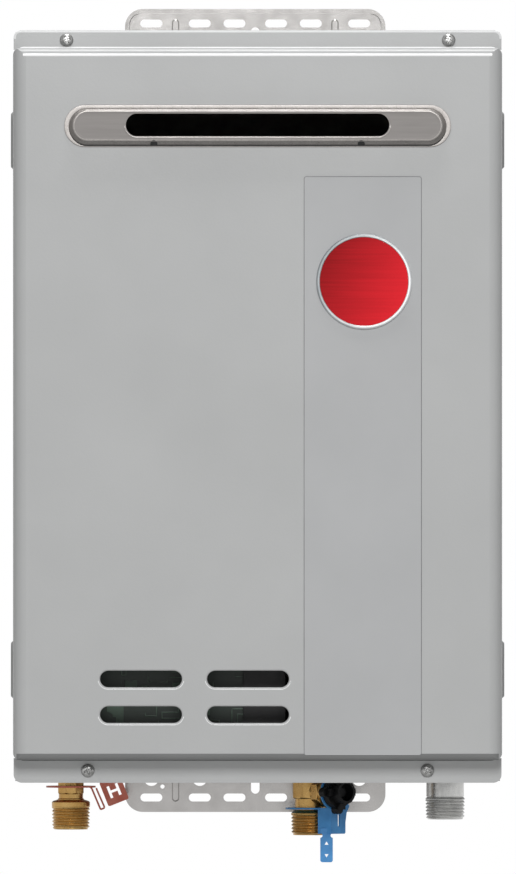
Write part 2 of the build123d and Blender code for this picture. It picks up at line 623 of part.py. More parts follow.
def front_cover():
    """Drawn cover: raised pan, screw strips, side skirts, exhaust hole and rolled louvres."""
    cover = pan_solid(0, CASE_FRONT) - pan_solid(SHEET, CASE_FRONT + 5)
    cover += Pos(0, 0, PAN_TOP) * screw_strip(TOP_STRIP)
    cover += Pos(0, 0, PAN_BOTTOM) * mirror(screw_strip(BOTTOM_STRIP), about=Plane.XY)
    half = COVER_WIDTH / 2
    skirt_z = (PAN_BOTTOM + CORNER_ROUND, PAN_TOP - CORNER_ROUND)
    for side in (-1, 1):
        limits = sorted((side * half, side * (half - SHEET)))
        cover += block(limits, (FLANGE_FRONT, CASE_FRONT + SKIRT_LENGTH), skirt_z)
    cutouts = stadium(EXHAUST_LENGTH + 2 * EXHAUST_ROOM, EXHAUST_HEIGHT + 8, 0, EXHAUST_Z)
    for x in LOUVRE_X:
        for rise in LOUVRE_RISE:
            cutouts += stadium(LOUVRE_LENGTH, LOUVRE_HEIGHT, x, COVER_BOTTOM + rise)
    for x, z in cover_screw_points():
        cutouts += Pos(x, z) * Circle(SCREW_HOLE_R)
    cover -= facing(cutouts, CASE_FRONT + 1, PAN_RISE + SHEET + 3)
    for x in LOUVRE_X:
        for rise in LOUVRE_RISE:
            cover += louvre_collar(x, COVER_BOTTOM + rise)
    return cover


def cover_screw_points():
    """Cover screw centres in X and Z."""
    levels = (COVER_TOP - COVER_SCREW_IN[0], COVER_BOTTOM + COVER_SCREW_IN[1])
    return [(side * x, z) for x, z in zip(COVER_SCREW_X, levels) for side in (-1, 1)]


def cover_screws():
    """Pan-head screws in the cover's strips."""
    screw = Rot(90, 0, 0) * pan_screw(COVER_SCREW_HEAD, COVER_SCREW_RISE, SCREW_HOLE_R - FIT, 9.0)
    return [Pos(x, FLANGE_FRONT, z) * screw for x, z in cover_screw_points()]


def trim_outline(sizes, inset):
    """Round-ended outline about the exhaust slot from its excess length and height and its lift."""
    length, height, lift = sizes
    return stadium(
        EXHAUST_LENGTH + length - 2 * inset, EXHAUST_HEIGHT + height - 2 * inset, 0, EXHAUST_Z + lift
    )


def trim_shell(inset):
    """Raised hood of the trim, drawn in from its outside by an inset."""
    base = Plane.XZ.offset(-FRONT_Y) * trim_outline(TRIM_BASE, inset)
    face = Plane.XZ.offset(TRIM_RISE - FRONT_Y - inset) * trim_outline(TRIM_FACE, inset)
    return loft([base, face], ruled=True)


def exhaust_trim():
    """Pressed stainless surround: flat flange, raised hood, slot with a deep lip, drain notches."""
    flange = facing(trim_outline(TRIM_FLANGE, 0), FRONT_Y, TRIM_SHEET)
    outside = trim_shell(0)
    face_edges = outside.faces().sort_by(Axis.Y)[0].outer_wire().edges()
    outside = fillet(face_edges, TRIM_ROUND)
    trim = flange + outside - trim_shell(TRIM_SHEET)
    lip_outer = stadium(
        EXHAUST_LENGTH + 2 * TRIM_SHEET, EXHAUST_HEIGHT + 2 * TRIM_SHEET, 0, EXHAUST_Z
    )
    slot = stadium(EXHAUST_LENGTH, EXHAUST_HEIGHT, 0, EXHAUST_Z)
    reach = TRIM_RISE + TRIM_LIP
    trim += facing(lip_outer, FRONT_Y + TRIM_LIP, reach)
    trim -= facing(slot, FRONT_Y + TRIM_LIP + 1, reach + 3)
    drain_z = EXHAUST_Z + TRIM_BASE[2] - (EXHAUST_HEIGHT + TRIM_BASE[1]) / 2 + 0.6
    for side in (-1, 1):
        x = side * TRIM_DRAIN_X
        start, end = (x, FRONT_Y - TRIM_SHEET - 0.01, drain_z), (x, FRONT_Y - TRIM_RISE + 2, drain_z)
        trim -= rod(start, end, TRIM_DRAIN_R)
    return trim


def accent_panel():
    """Flat strip laid on the cover."""
    width = ACCENT_X[1] - ACCENT_X[0]
    top, bottom = COVER_TOP - ACCENT_DROP, COVER_BOTTOM + ACCENT_FOOT
    spot = Pos((ACCENT_X[0] + ACCENT_X[1]) / 2, (top + bottom) / 2)
    return facing(spot * RectangleRounded(width, top - bottom, ACCENT_CORNER), FRONT_Y, ACCENT_SHEET)


def badge_place():
    """Badge axis: outwards from the accent strip."""
    return Plane(origin=(BADGE_X, FRONT_Y - ACCENT_SHEET, COVER_TOP - BADGE_DROP), z_dir=(0, -1, 0))


def badge_rim():
    """Shallow metal dish with a rounded rim."""
    inner = BADGE_R - BADGE_RIM
    profile = [
        (0, 0), (BADGE_R, 0), (BADGE_R, BADGE_RISE - 0.9), (BADGE_R - 0.6, BADGE_RISE - 0.2),
        (BADGE_R - 1.2, BADGE_RISE), (inner + 0.4, BADGE_RISE), (inner, BADGE_RISE - 0.4),
        (inner, BADGE_FLOOR), (0, BADGE_FLOOR),
    ]
    return badge_place() * turned(profile)


def badge_face():
    """Lacquered disc in the badge's rim."""
    inner = BADGE_R - BADGE_RIM - BADGE_FIT
    return badge_place() * Pos(0, 0, BADGE_FLOOR) * extrude(Circle(inner), BADGE_FACE)


def fitting_flange(x, y):
    """Mounting flange of a pipe fitting on the case's floor."""
    length, width, thickness = FITTING_FLANGE
    outline = Pos(x, y) * RectangleRounded(length, width, FLANGE_CORNER)
    for side in (-1, 1):
        outline -= Pos(x + side * FITTING_SCREW_X, y) * Circle(SMALL_SCREW_R + FIT)
    return upright(outline, FLOOR, thickness)


def water_bore(step, end):
    """Bore of a water fitting, wider from below a step to its threaded end."""
    return turned([
        (0, INLET_TOP + 1), (WATER_BORE_R, INLET_TOP + 1), (WATER_BORE_R, step),
        (THREAD_BORE_R, step - 3), (THREAD_BORE_R, end - 1), (0, end - 1),
    ])


def hot_outlet():
    """Brass outlet: octagon, neck, shoulder and threaded end, with a spigot above the floor."""
    octagon_end, neck_end, start, end = [CASE_BOTTOM - drop for drop in HOT_DROP]
    body = turned([
        (0, INLET_TOP), (SPIGOT_R, INLET_TOP), (SPIGOT_R, FLOOR), (NECK_R, FLOOR), (NECK_R, neck_end),
        (THREAD_R, start), (THREAD_R, end + THREAD_CHAMFER), (THREAD_R - THREAD_CHAMFER, end), (0, end),
    ])
    octagon = RegularPolygon(OCTAGON_FLATS / 2, 8, major_radius=False)
    body += upright(octagon, octagon_end, FLOOR - octagon_end)
    body = Pos(HOT_X, HOT_Y, 0) * body + fitting_flange(HOT_X, HOT_Y)
    return body - Pos(HOT_X, HOT_Y, 0) * water_bore(start - 1, end)


def cold_inlet():
    """Brass inlet: octagon collar, round body, threaded end, yawed filter branch and spigot."""
    collar_end, body_end, start, end = [CASE_BOTTOM - drop for drop in COLD_DROP]
    body = turned([
        (0, INLET_TOP), (SPIGOT_R, INLET_TOP), (SPIGOT_R, FLOOR), (COLD_BODY_R, FLOOR),
        (COLD_BODY_R, body_end), (THREAD_R, start), (THREAD_R, end + THREAD_CHAMFER),
        (THREAD_R - THREAD_CHAMFER, end), (0, end),
    ])
    octagon = RegularPolygon(COLD_COLLAR_FLATS / 2, 8, major_radius=False)
    body += upright(octagon, collar_end, FLOOR - collar_end)
    body = Pos(COLD_X, COLD_Y, 0) * body + BRANCH * extrude(Circle(BRANCH_R), BRANCH_END)
    collar = Pos(0, 0, COLD_COLLAR_FLATS / 2 - 1) * extrude(RegularPolygon(BRANCH_R + 1.8, 6), BRANCH_HEX)
    body += BRANCH * collar
    body += fitting_flange(COLD_X, COLD_Y)
    body -= Pos(COLD_X, COLD_Y, 0) * water_bore(start, end)
    return body - BRANCH * extrude(Circle(BRANCH_BORE_R), BRANCH_END + 1)


def gas_inlet():
    """Steel gas nipple from its thread up to the gas valve."""
    plain_end, end = [CASE_BOTTOM - drop for drop in GAS_DROP]
    top = GAS_VALVE_Z
    step = FLOOR + 2 * FITTING_FLANGE[2]
    body = turned([
        (0, top), (GAS_TOP_R, top), (GAS_TOP_R, step), (GAS_R, step), (GAS_R, plain_end),
        (THREAD_R, plain_end - FIT), (THREAD_R, end + THREAD_CHAMFER), (THREAD_R - THREAD_CHAMFER, end),
        (0, end),
    ])
    body = Pos(GAS_X, GAS_Y, 0) * body + fitting_flange(GAS_X, GAS_Y)
    return body - rod((GAS_X, GAS_Y, top + 1), (GAS_X, GAS_Y, end - 1), THREAD_BORE_R)


def cable_grommet():
    """Closed rubber membrane in the floor's cable hole."""
    edge = GROMMET_R - BRAZE
    lip = GROMMET_R + GROMMET_LIP
    body = turned([
        (0, -1), (edge - 4, -1), (edge - 3, -4), (lip - 1, -4), (lip, -3), (lip, 0), (edge, 0),
        (edge, SHEET), (lip, SHEET), (lip, SHEET + 1.6), (lip - 1, SHEET + 2.4),
        (edge - 3, SHEET + 2.4), (edge - 4, 0.6), (0, 0.6),
    ])
    return Pos(*GROMMET_AT, FLOOR - SHEET) * body


def filter_knob():
    """Plastic cap with a lobed disc, wings up to a hollow hub, and a stem that carries the screen."""
    rib_width, rib_length = KNOB_RIB
    disc = Circle(KNOB_R)
    wings = Circle(KNOB_HUB_R)
    for index in range(KNOB_LOBES):
        turn = Rot(0, 0, 360 / KNOB_LOBES * index - 90)
        disc += turn * Pos(KNOB_REACH, 0) * Circle(KNOB_LOBE_R)
        wings += turn * Pos(KNOB_REACH / 2, 0) * Rectangle(KNOB_REACH, rib_width)
    body = extrude(disc, KNOB_DISC) + extrude(wings, rib_length) + extrude(Circle(KNOB_HUB_R), KNOB_LENGTH)
    body -= Pos(0, 0, KNOB_DISC) * extrude(Circle(KNOB_HOLLOW_R), KNOB_LENGTH)
    body += extrude(Circle(KNOB_HOLLOW_R / 2), KNOB_DISC + 3)
    body = Pos(0, 0, KNOB_START) * body
    body += Pos(0, 0, STEM_START) * extrude(Circle(STEM_R), KNOB_START - STEM_START + 1)
    groove = Pos(0, 0, STEM_START + 5) * extrude(Circle(STEM_R + 1) - Circle(STEM_R - SEAL_R - 0.1), 2.4)
    return BRANCH * (body - groove)


def filter_seal():
    """Rubber ring in the stem's groove."""
    return BRANCH * (Pos(0, 0, STEM_START + 6.2) * Torus(BRANCH_BORE_R - FIT - SEAL_R, SEAL_R))


def filter_screen():
    """Fine strainer basket on the end of the knob's stem."""
    start, end = -2.0, STEM_START - 0.1
    basket = Pos(0, 0, start) * extrude(Circle(STEM_R) - Circle(STEM_R - 0.8), end - start)
    basket += Pos(0, 0, start) * extrude(Circle(STEM_R), 0.8)
    return BRANCH * (basket + Pos(0, 0, end - 1) * extrude(Circle(STEM_R), 1))


def cold_tag():
    """Folded tag: ring on the inlet's neck, strap, plate around the branch and hanging tab."""
    neck_z = CASE_BOTTOM - COLD_DROP[1] + 0.4
    ring = Pos(COLD_X, COLD_Y) * Circle(TAG_RING_R)
    strap_end = (COLD_X + 5.6, COLD_Y - 16.0)
    fold = (COLD_X + 15.8, COLD_Y - 20.1)
    side = (COLD_X + 9.5, COLD_Y - 5.0)
    tongue = make_face(Polyline((COLD_X - 6, COLD_Y - 8), strap_end, fold, side, close=True))
    bore = Pos(COLD_X, COLD_Y) * Circle(COLD_BODY_R + 0.2)
    tag = upright(ring + tongue - bore, neck_z, TAG_SHEET)
    plan = make_face(offset(Polyline(strap_end, fold), amount=TAG_SHEET, side=Side.LEFT))
    plate_width, plate_drop = COLD_TAG_PLATE
    plate_bottom = CASE_BOTTOM - plate_drop
    tag += upright(plan, plate_bottom, neck_z + TAG_SHEET - plate_bottom)
    plate_start = KNOB_START - 0.4 - TAG_SHEET
    drop = BRANCH_Z - plate_bottom
    middle, edge = COLD_TAG_SIDE, COLD_TAG_SIDE + plate_width / 2
    face = Circle(COLD_TAG_EYE) + Pos(middle, -drop / 2) * RectangleRounded(plate_width, drop, 1.2)
    flare = ((0, 0), (edge + 4, -10), (edge + 1.2, -15), (edge, -22), (middle, -22))
    face += make_face(Polyline(*flare, close=True))
    slit_width, slit_length = COLD_TAG_SLIT
    slit_z = -COLD_TAG_EYE - 3.5 - slit_length / 2
    slit = Pos(middle, slit_z) * Rot(0, 0, 90) * SlotOverall(slit_length, slit_width)
    face = face - Circle(BRANCH_R + 0.2) - slit
    tag += BRANCH * (Pos(0, 0, plate_start) * extrude(face, TAG_SHEET))
    tab_y = (strap_end[1] + fold[1]) / 2 - TAG_SHEET / 2
    tab_width, tab_drop = COLD_TAG_TAB
    left = COLD_X + 7.3
    tab = Pos(left + tab_width / 2, CASE_BOTTOM - (tab_drop + plate_drop - 4) / 2)
    tab *= RectangleRounded(tab_width, tab_drop - plate_drop + 4, COLD_TAG_SLIT[0])
    for x in (left, left + tab_width):
        tab -= Pos(x, plate_bottom - 1.2) * Circle(COLD_TAG_SLIT[0])
    mark, *rises = COLD_TAG_MARK
    for rise, turn in zip(rises, (-90, 90)):
        spot = Pos(left + tab_width / 2, CASE_BOTTOM - tab_drop + rise)
        tab -= spot * RegularPolygon(mark, 3, rotation=turn)
    tag += facing(tab, tab_y + TAG_SHEET, TAG_SHEET)
    hole = (COLD_X + 8.5, COLD_Y - 15.0)
    return tag - rod((*hole, neck_z - 1), (*hole, neck_z + TAG_SHEET + 1), COLD_TAG_HOLE_R)


def hot_tag():
    """Bent tag on the hot outlet: ring, spring-like strap and tilted plate."""
    level = CASE_BOTTOM - HOT_TAG_DROP
    tag = upright(Circle(TAG_RING_R) - Circle(OCTAGON_R + FIT), level, TAG_SHEET)
    strap = FilletPolyline(
        (10.8, level), (14.2, level), (21.3, level - 16.8), (25.4, level - 15.1), (18.9, level - 0.2),
        radius=[1.8, 2.0, 2.0],
    )
    strap_face = make_face(offset(strap, amount=TAG_SHEET, side=Side.LEFT))
    tag += facing(strap_face, 5.0, 10.0)
    width, height, tilt = HOT_TAG_PLATE
    plate = Pos(30.5, level - 5.4) * Rot(0, 0, tilt) * RectangleRounded(width, height, 1.0)
    tag += facing(plate, -5.0 + TAG_SHEET, TAG_SHEET)
    return Pos(HOT_X, HOT_Y, 0) * tag


def stack_flange(level):
    """Outward lip around the stack with its underside at a level."""
    width, depth = STACK_WIDTH + 2 * STACK_FLANGE, STACK_DEPTH + 2 * STACK_FLANGE
    lip = RectangleRounded(width, depth, STACK_CORNER)
    lip -= Rectangle(STACK_WIDTH - 2 * SHEET, STACK_DEPTH - 2 * SHEET)
    return upright(Pos(0, STACK_MIDDLE) * lip, level, FLANGE_SHEET)


def back_tabs(level, rise):
    """Pair of folded tabs from the stack to the case's back: shelf at a level, foot up or down."""
    tabs = []
    for side in (-1, 1):
        x = sorted((side * STACK_TAB[0], side * STACK_TAB[1]))
        shelf = block(x, (STACK_BACK - SHEET, BACK_INNER), (level, level + 2 * SHEET))
        foot = sorted((level + SHEET, level + SHEET + rise * STACK_TAB[2]))
        tabs.append(shelf + block(x, (BACK_INNER - 2 * SHEET, BACK_INNER), foot))
    return tabs


def nozzle_x():
    """Burner centres across the stack."""
    pitch = (STACK_WIDTH - 2 * SHEET - BURNER_MARGIN) / BURNER_COUNT
    return [(index - (BURNER_COUNT - 1) / 2) * pitch for index in range(BURNER_COUNT)]


def burner_box():
    """Folded box around the burners, with throat hole, nozzle holes and tabs to the case's back."""
    half = STACK_WIDTH / 2
    box = block((-half, half), (STACK_FRONT, STACK_BACK), (BOX_BOTTOM, BOX_TOP))
    inside = (STACK_FRONT + SHEET, STACK_BACK - SHEET)
    box -= block((SHEET - half, half - SHEET), inside, (BOX_BOTTOM + SHEET, BOX_TOP + 1))
    box += stack_flange(BOX_TOP - FLANGE_SHEET)
    throat = (FAN_FRONT, FAN_BACK - FAN_WALL)
    box -= block(throat_limits(FAN_WALL), throat, (BOX_BOTTOM - 1, BOX_BOTTOM + SHEET + 1))
    holes = [(x, NOZZLE_Z, NOZZLE_R + 2 * FIT) for x in nozzle_x()]
    holes += [(x, ELECTRODE_Z, CERAMIC_R + BRAZE) for x in ELECTRODE_X]
    for x, z, radius in holes:
        box -= rod((x, STACK_FRONT - 1, z), (x, STACK_FRONT + SHEET + 1, z), radius)
    for tab in back_tabs(BOX_TOP - BURNER_BOX_HEIGHT / 2, -1):
        box += tab
    return box


def burners():
    """Row of flat burner leaves with a gas throat each and a groove of flame ports."""
    depth = STACK_DEPTH - 2 * SHEET - 2 * FIT
    bottom = NOZZLE_Z - BURNER_HEIGHT / 3
    top = bottom + BURNER_HEIGHT
    leaf = RectangleRounded(depth, BURNER_HEIGHT, BURNER_CORNER)
    body = along_x(Pos(STACK_MIDDLE, (bottom + top) / 2) * leaf, -BURNER_SHEET / 2, BURNER_SHEET)
    groove = (STACK_FRONT + 1.5 * BURNER_CORNER, STACK_BACK - 1.5 * BURNER_CORNER)
    body -= block((-BURNER_SHEET / 8, BURNER_SHEET / 8), groove, (top - 6, top + 1))
    body -= rod((0, STACK_FRONT, NOZZLE_Z), (0, STACK_FRONT + 14, NOZZLE_Z), NOZZLE_R + 1)
    return [Pos(x, 0, 0) * body for x in nozzle_x()]


def gas_manifold():
    """Gas rail with a nozzle for each burner and two feet on the burner box."""
    depth, height, corner = RAIL
    rail = Pos(RAIL_MIDDLE, NOZZLE_Z) * RectangleRounded(depth, height, corner)
    body = along_x(rail, -RAIL_HALF, 2 * RAIL_HALF)
    for x in nozzle_x():
        body += rod((x, RAIL_BACK - 1, NOZZLE_Z), (x, STACK_FRONT + 4, NOZZLE_Z), NOZZLE_R)
    for side in (-1, 1):
        limits = sorted((side * RAIL_HALF, side * (RAIL_HALF - RAIL_GAP)))
        body += block(limits, (RAIL_BACK - 1, STACK_FRONT), (NOZZLE_Z - 12, NOZZLE_Z + 6))
    return body


def exchanger_shell():
    """Copper jacket between burner box and hood, with flanges and brazed tube holes."""
    outer = RectangleRounded(STACK_WIDTH, STACK_DEPTH, STACK_CORNER)
    inner = RectangleRounded(STACK_WIDTH - 2 * SHEET, STACK_DEPTH - 2 * SHEET, STACK_CORNER - SHEET)
    shell = upright(Pos(0, STACK_MIDDLE) * (outer - inner), BOX_TOP, EXCHANGER_HEIGHT)
    shell += stack_flange(BOX_TOP) + stack_flange(EXCHANGER_TOP - FLANGE_SHEET)
    for index in range(TUBE_PASSES):
        y = TUBE_FIRST_Y + index * TUBE_PITCH
        shell -= rod((-STACK_WIDTH, y, TUBE_Z), (STACK_WIDTH, y, TUBE_Z), TUBE_R + BRAZE)
    return shell


def exchanger_fins():
    """Fin plates across the tubes."""
    depth = STACK_DEPTH - 2 * SHEET - 2 * FIT
    fin = Pos(STACK_MIDDLE, TUBE_Z) * RectangleRounded(depth, FIN_HEIGHT, 3)
    for index in range(TUBE_PASSES):
        fin -= Pos(TUBE_FIRST_Y + index * TUBE_PITCH, TUBE_Z) * Circle(TUBE_R + BRAZE)
    pitch = (STACK_WIDTH - 2 * SHEET) / FIN_COUNT
    first = -pitch * (FIN_COUNT - 1) / 2 - FIN_SHEET / 2
    return [along_x(fin, first + index * pitch, FIN_SHEET) for index in range(FIN_COUNT)]


def exchanger_tubes():
    """One serpentine tube: riser from the coil, passes through the fins and elbow to the hot pipe."""
    turn = STACK_WIDTH / 2 + TUBE_BEND + 4
    points = [(COLD_RISER_X, TUBE_FIRST_Y, COIL_END_Z), (COLD_RISER_X, TUBE_FIRST_Y, TUBE_Z)]
    bends = [TUBE_BEND]
    for index in range(TUBE_PASSES - 1):
        side = -1 if index % 2 == 0 else 1
        y = TUBE_FIRST_Y + index * TUBE_PITCH
        points += [(side * turn, y, TUBE_Z), (side * turn, y + TUBE_PITCH, TUBE_Z)]
        bends += [TUBE_PITCH / 2 - 0.01, TUBE_PITCH / 2 - 0.01]
    points += [(HOT_RISER_X, TUBE_LAST_Y, TUBE_Z), (HOT_RISER_X, TUBE_LAST_Y, COIL_END_Z)]
    bends.append(TUBE_BEND)
    return pipe(points, bends, TUBE_R, TUBE_WALL)


def exchanger_coil():
    """Cooling coil wound around the jacket, from the cold pipe up to the serpentine."""
    rise = (COIL_LAST_Z - COIL_FIRST_Z) / COIL_TURNS
    points = [(COLD_RISER_X, RISER_Y, COIL_START_Z), (COLD_RISER_X, RISER_Y, COIL_FIRST_Z)]
    for turn in range(COIL_TURNS):
        level = COIL_FIRST_Z + turn * rise
        points.append((COLD_RISER_X, COIL_FRONT, level))
        points.append((-COIL_SIDE, COIL_FRONT, level))
        points.append((-COIL_SIDE, COIL_BACK, level))
        points.append((COLD_RISER_X, COIL_BACK, level + rise))
    points.append((COLD_RISER_X, TUBE_FIRST_Y, COIL_LAST_Z))
    points.append((COLD_RISER_X, TUBE_FIRST_Y, COIL_END_Z))
    bends = [TUBE_BEND] + [COIL_BEND] * (4 * COIL_TURNS) + [TUBE_BEND]
    return pipe(points, bends, TUBE_R, TUBE_WALL)


def hood_profile(inset, bottom):
    """Hood seen from the side, drawn in by an inset: upright back, sloped shoulder, flat roof."""
    front, back = STACK_FRONT + inset, STACK_BACK - inset
    top = EXHAUST_Z + HOOD_HEAD - inset
    knee = (back, EXCHANGER_TOP + HOOD_KNEE)
    shoulder = (STACK_MIDDLE + HOOD_SLOPE - inset, top)
    return make_face(Polyline((front, bottom), (back, bottom), knee, shoulder, (front, top), close=True))


def exhaust_hood():
    """Folded hood on the exchanger with a round-ended duct to the front and tabs to the case."""
    half = STACK_WIDTH / 2
    start = STACK_FRONT + SHEET
    duct = stadium(DUCT_LENGTH, DUCT_HEIGHT, 0, EXHAUST_Z)
    duct_outer = stadium(DUCT_LENGTH + 2 * SHEET, DUCT_HEIGHT + 2 * SHEET, 0, EXHAUST_Z)
    collar = stadium(DUCT_LENGTH + 2 * DUCT_COLLAR, DUCT_HEIGHT + 2 * DUCT_COLLAR, 0, EXHAUST_Z)
    hood = along_x(hood_profile(0, EXCHANGER_TOP), -half, 2 * half)
    hood += stack_flange(EXCHANGER_TOP)
    hood += facing(duct_outer, start, start - DUCT_END)
    hood += facing(collar, DUCT_END + SHEET, SHEET)
    hood -= along_x(hood_profile(SHEET, EXCHANGER_TOP - 1), SHEET - half, 2 * (half - SHEET))
    hood -= facing(duct, start + 1, start - DUCT_END + 3)
    for tab in back_tabs(EXCHANGER_TOP + HOOD_KNEE / 3, 1):
        hood += tab
    return hood


def exhaust_gasket():
    """Soft ring between the hood's collar and the cover."""
    rim = DUCT_COLLAR - SHEET
    outer = stadium(DUCT_LENGTH + 2 * rim, DUCT_HEIGHT + 2 * rim, 0, EXHAUST_Z)
    inner = stadium(DUCT_LENGTH + 2 * SHEET, DUCT_HEIGHT + 2 * SHEET, 0, EXHAUST_Z)
    return facing(outer - inner, DUCT_END, GASKET - FIT)


def throat_limits(inset):
    """Sides of the fan's throat in X."""
    left = FAN_R * cos(radians(FAN_TONGUE)) - FAN_STEP
    return (FAN_X + left + inset, FAN_X + FAN_R + 7 * FAN_STEP - inset)


def fan_outline(inset, top):
    """Scroll and throat: four quarter arcs about the corners of a small square, drawn in by an inset."""
    step = FAN_STEP
    radius = FAN_R - inset
    left, right = [limit - FAN_X for limit in throat_limits(inset)]
    angle = degrees(acos((left + step) / radius))
    tongue = step + radius * sin(radians(angle))
    return Pos(FAN_X, FAN_Z) * make_face([
        Line((right, step), (right, top)),
        Line((right, top), (left, top)),
        Line((left, top), (left, tongue)),
        CenterArc((-step, step), radius, angle, 90 - angle),
        CenterArc((-step, -step), radius + 2 * step, 90, 90),
        CenterArc((step, -step), radius + 4 * step, 180, 90),
        CenterArc((step, step), radius + 6 * step, 270, 90),
    ])


def fan_scroll():
    """Scroll wall and rear plate with the air inlet, and a flange under the burner box."""
    body = facing(fan_outline(0, FAN_THROAT), FAN_BACK, FAN_DEPTH)
    body -= facing(fan_outline(FAN_WALL, FAN_THROAT + 1), FAN_BACK - FAN_WALL, FAN_DEPTH)
    body -= rod((FAN_X, FAN_BACK + 1, FAN_Z), (FAN_X, FAN_BACK - FAN_WALL - 1, FAN_Z), FAN_INLET_R)
    left, right = throat_limits(0)
    rim = block(
        (left - FAN_FLANGE, right + FAN_FLANGE), (FAN_FRONT - FAN_FLANGE, FAN_BACK + FAN_FLANGE),
        (BOX_BOTTOM - FAN_FLANGE_SHEET, BOX_BOTTOM),
    )
    rim -= block(
        throat_limits(FAN_WALL), (FAN_FRONT, FAN_BACK - FAN_WALL),
        (BOX_BOTTOM - FAN_FLANGE_SHEET - 1, BOX_BOTTOM + 1),
    )
    return body + rim


def fan_cover():
    """Front plate of the fan with a hole for the motor's shaft."""
    outline = fan_outline(0, FAN_THROAT - FAN_FLANGE_SHEET) - Pos(FAN_X, FAN_Z) * Circle(2 * SHAFT_R)
    return facing(outline, FAN_FRONT, FAN_WALL)


def fan_place():
    """Fan axis from the front plate towards the viewer."""
    return Plane(origin=(FAN_X, FAN_FRONT - FAN_WALL, FAN_Z), z_dir=(0, -1, 0))


def fan_motor():
    """Motor can on the front plate, with a rounded end and a shaft bore."""
    bore = SHAFT_R + RUNNING
    can = turned([
        (bore, 0), (MOTOR_R, 0), (MOTOR_R, MOTOR_LENGTH - 5), (MOTOR_R - 1.5, MOTOR_LENGTH - 1.5),
        (MOTOR_R - 5, MOTOR_LENGTH), (0, MOTOR_LENGTH), (0, MOTOR_BORE), (bore, MOTOR_BORE),
    ])
    return fan_place() * can


def fan_impeller():
    """Squirrel-cage wheel on the motor's shaft."""
    radius = FAN_R - FAN_STEP - FAN_WALL - FAN_GAP
    front = -FAN_WALL - FAN_GAP
    depth = FAN_DEPTH - FAN_WALL - 2 * FAN_GAP
    chord, sheet, angle = FAN_BLADE
    wheel = Pos(0, 0, front - FAN_DISC) * extrude(Circle(radius), FAN_DISC)
    wheel += Pos(0, 0, front - depth) * extrude(Circle(radius) - Circle(radius - chord - 0.4), FAN_DISC)
    for index in range(FAN_BLADES):
        turn = Rot(0, 0, 360 / FAN_BLADES * index)
        blade = turn * Pos(radius - chord / 2 - 0.8, 0) * Rot(0, 0, angle) * Rectangle(chord, sheet)
        wheel += Pos(0, 0, front - depth + FAN_DISC / 3) * extrude(blade, depth - 2 * FAN_DISC / 3)
    hub_r, hub_length = FAN_HUB
    wheel += Pos(0, 0, front - hub_length) * extrude(Circle(hub_r), hub_length)
    wheel += Pos(0, 0, front - hub_length) * extrude(Circle(SHAFT_R), hub_length - front + MOTOR_BORE - 2)
    return fan_place() * wheel


def gas_valve():
    """Cast valve body with rounded edges, outlet boss and two plunger bores."""
    width, depth, height = VALVE_SIZE
    boss_r, boss_height = VALVE_BOSS
    body = upright(RectangleRounded(width, depth, VALVE_CORNER), 0, height)
    body += Pos(0, 0, height) * extrude(Circle(boss_r), boss_height)
    body -= Pos(0, 0, height - 12) * extrude(Circle(GAS_PIPE_R - 0.5), 20)
    body = Pos(GAS_X, GAS_Y, GAS_VALVE_Z) * body
    for z in PLUNGER_Z:
        start, end = (GAS_X, GAS_VALVE_FRONT - 1, z), (GAS_X, GAS_VALVE_FRONT + PLUNGER_SEAT + 2, z)
        body -= rod(start, end, PLUNGER_R + RUNNING)
    return body


def gas_coils():
    """Solenoid coils on the valve's front, each with a plunger bore."""
    bore = PLUNGER_R + RUNNING
    bore_end = COIL_LENGTH - 6
    coils = []
    for z in PLUNGER_Z:
        coil = turned([
            (bore, 0), (COIL_R + 1.5, 0), (COIL_R + 1.5, 3), (COIL_R, 3), (COIL_R, COIL_LENGTH - 3),
            (COIL_R - 2, COIL_LENGTH), (0, COIL_LENGTH), (0, bore_end), (bore, bore_end),
        ])
        coils.append(Plane(origin=(GAS_X, GAS_VALVE_FRONT, z), z_dir=(0, -1, 0)) * coil)
    return coils


def gas_plunger(index):
    """Soft-iron plunger across the joint of valve and coil."""
    z = PLUNGER_Z[index]
    start = GAS_VALVE_FRONT + PLUNGER_SEAT
    return rod((GAS_X, start, z), (GAS_X, start - PLUNGER_LENGTH, z), PLUNGER_R)


def gas_outlet_pipe():
    """Pipe from the gas valve's outlet to the manifold's end."""
    start = GAS_VALVE_Z + VALVE_SIZE[2] + VALVE_BOSS[1]
    points = [
        (GAS_X, GAS_Y, start), (GAS_X, GAS_Y, NOZZLE_Z), (GAS_X, RAIL_MIDDLE, NOZZLE_Z),
        (RAIL_HALF, RAIL_MIDDLE, NOZZLE_Z),
    ]
    return pipe(points, [PIPE_BEND, PIPE_BEND], GAS_PIPE_R, TUBE_WALL)


def flow_sensor():
    """Plastic sensor body on the inlet's spigot, with spiders for the turbine's axle and a pickup."""
    width, sheet = SENSOR_BAR
    ring = Circle(SENSOR_R) - Circle(SENSOR_BORE_R)
    body = upright(ring, 0, SENSOR_LENGTH)
    spider = Rectangle(2 * SENSOR_BORE_R + 1, width) - Circle(AXLE_R + RUNNING)
    for level in (sheet, SENSOR_LENGTH - 2 * sheet):
        body += upright(spider, level, sheet)
    pickup = Pos(SENSOR_R + 3, 0) * RectangleRounded(10, 14, 2)
    body += upright(pickup - Circle(SENSOR_R - 1), SENSOR_LENGTH / 4, SENSOR_LENGTH / 2)
    return Pos(COLD_X, COLD_Y, INLET_TOP) * body


def flow_turbine():
    """Small turbine wheel on its axle."""
    wheel = Pos(0, 0, 8) * extrude(Circle(3), SENSOR_LENGTH - 16)
    wheel += Pos(0, 0, 3.5) * extrude(Circle(AXLE_R), SENSOR_LENGTH - 7)
    for index in range(5):
        blade = Pos(5.6, 0, SENSOR_LENGTH / 2) * Rot(30, 0, 0) * Box(6.4, 1.0, 12)
        wheel += Rot(0, 0, 72 * index) * blade
    return Pos(COLD_X, COLD_Y, INLET_TOP) * wheel


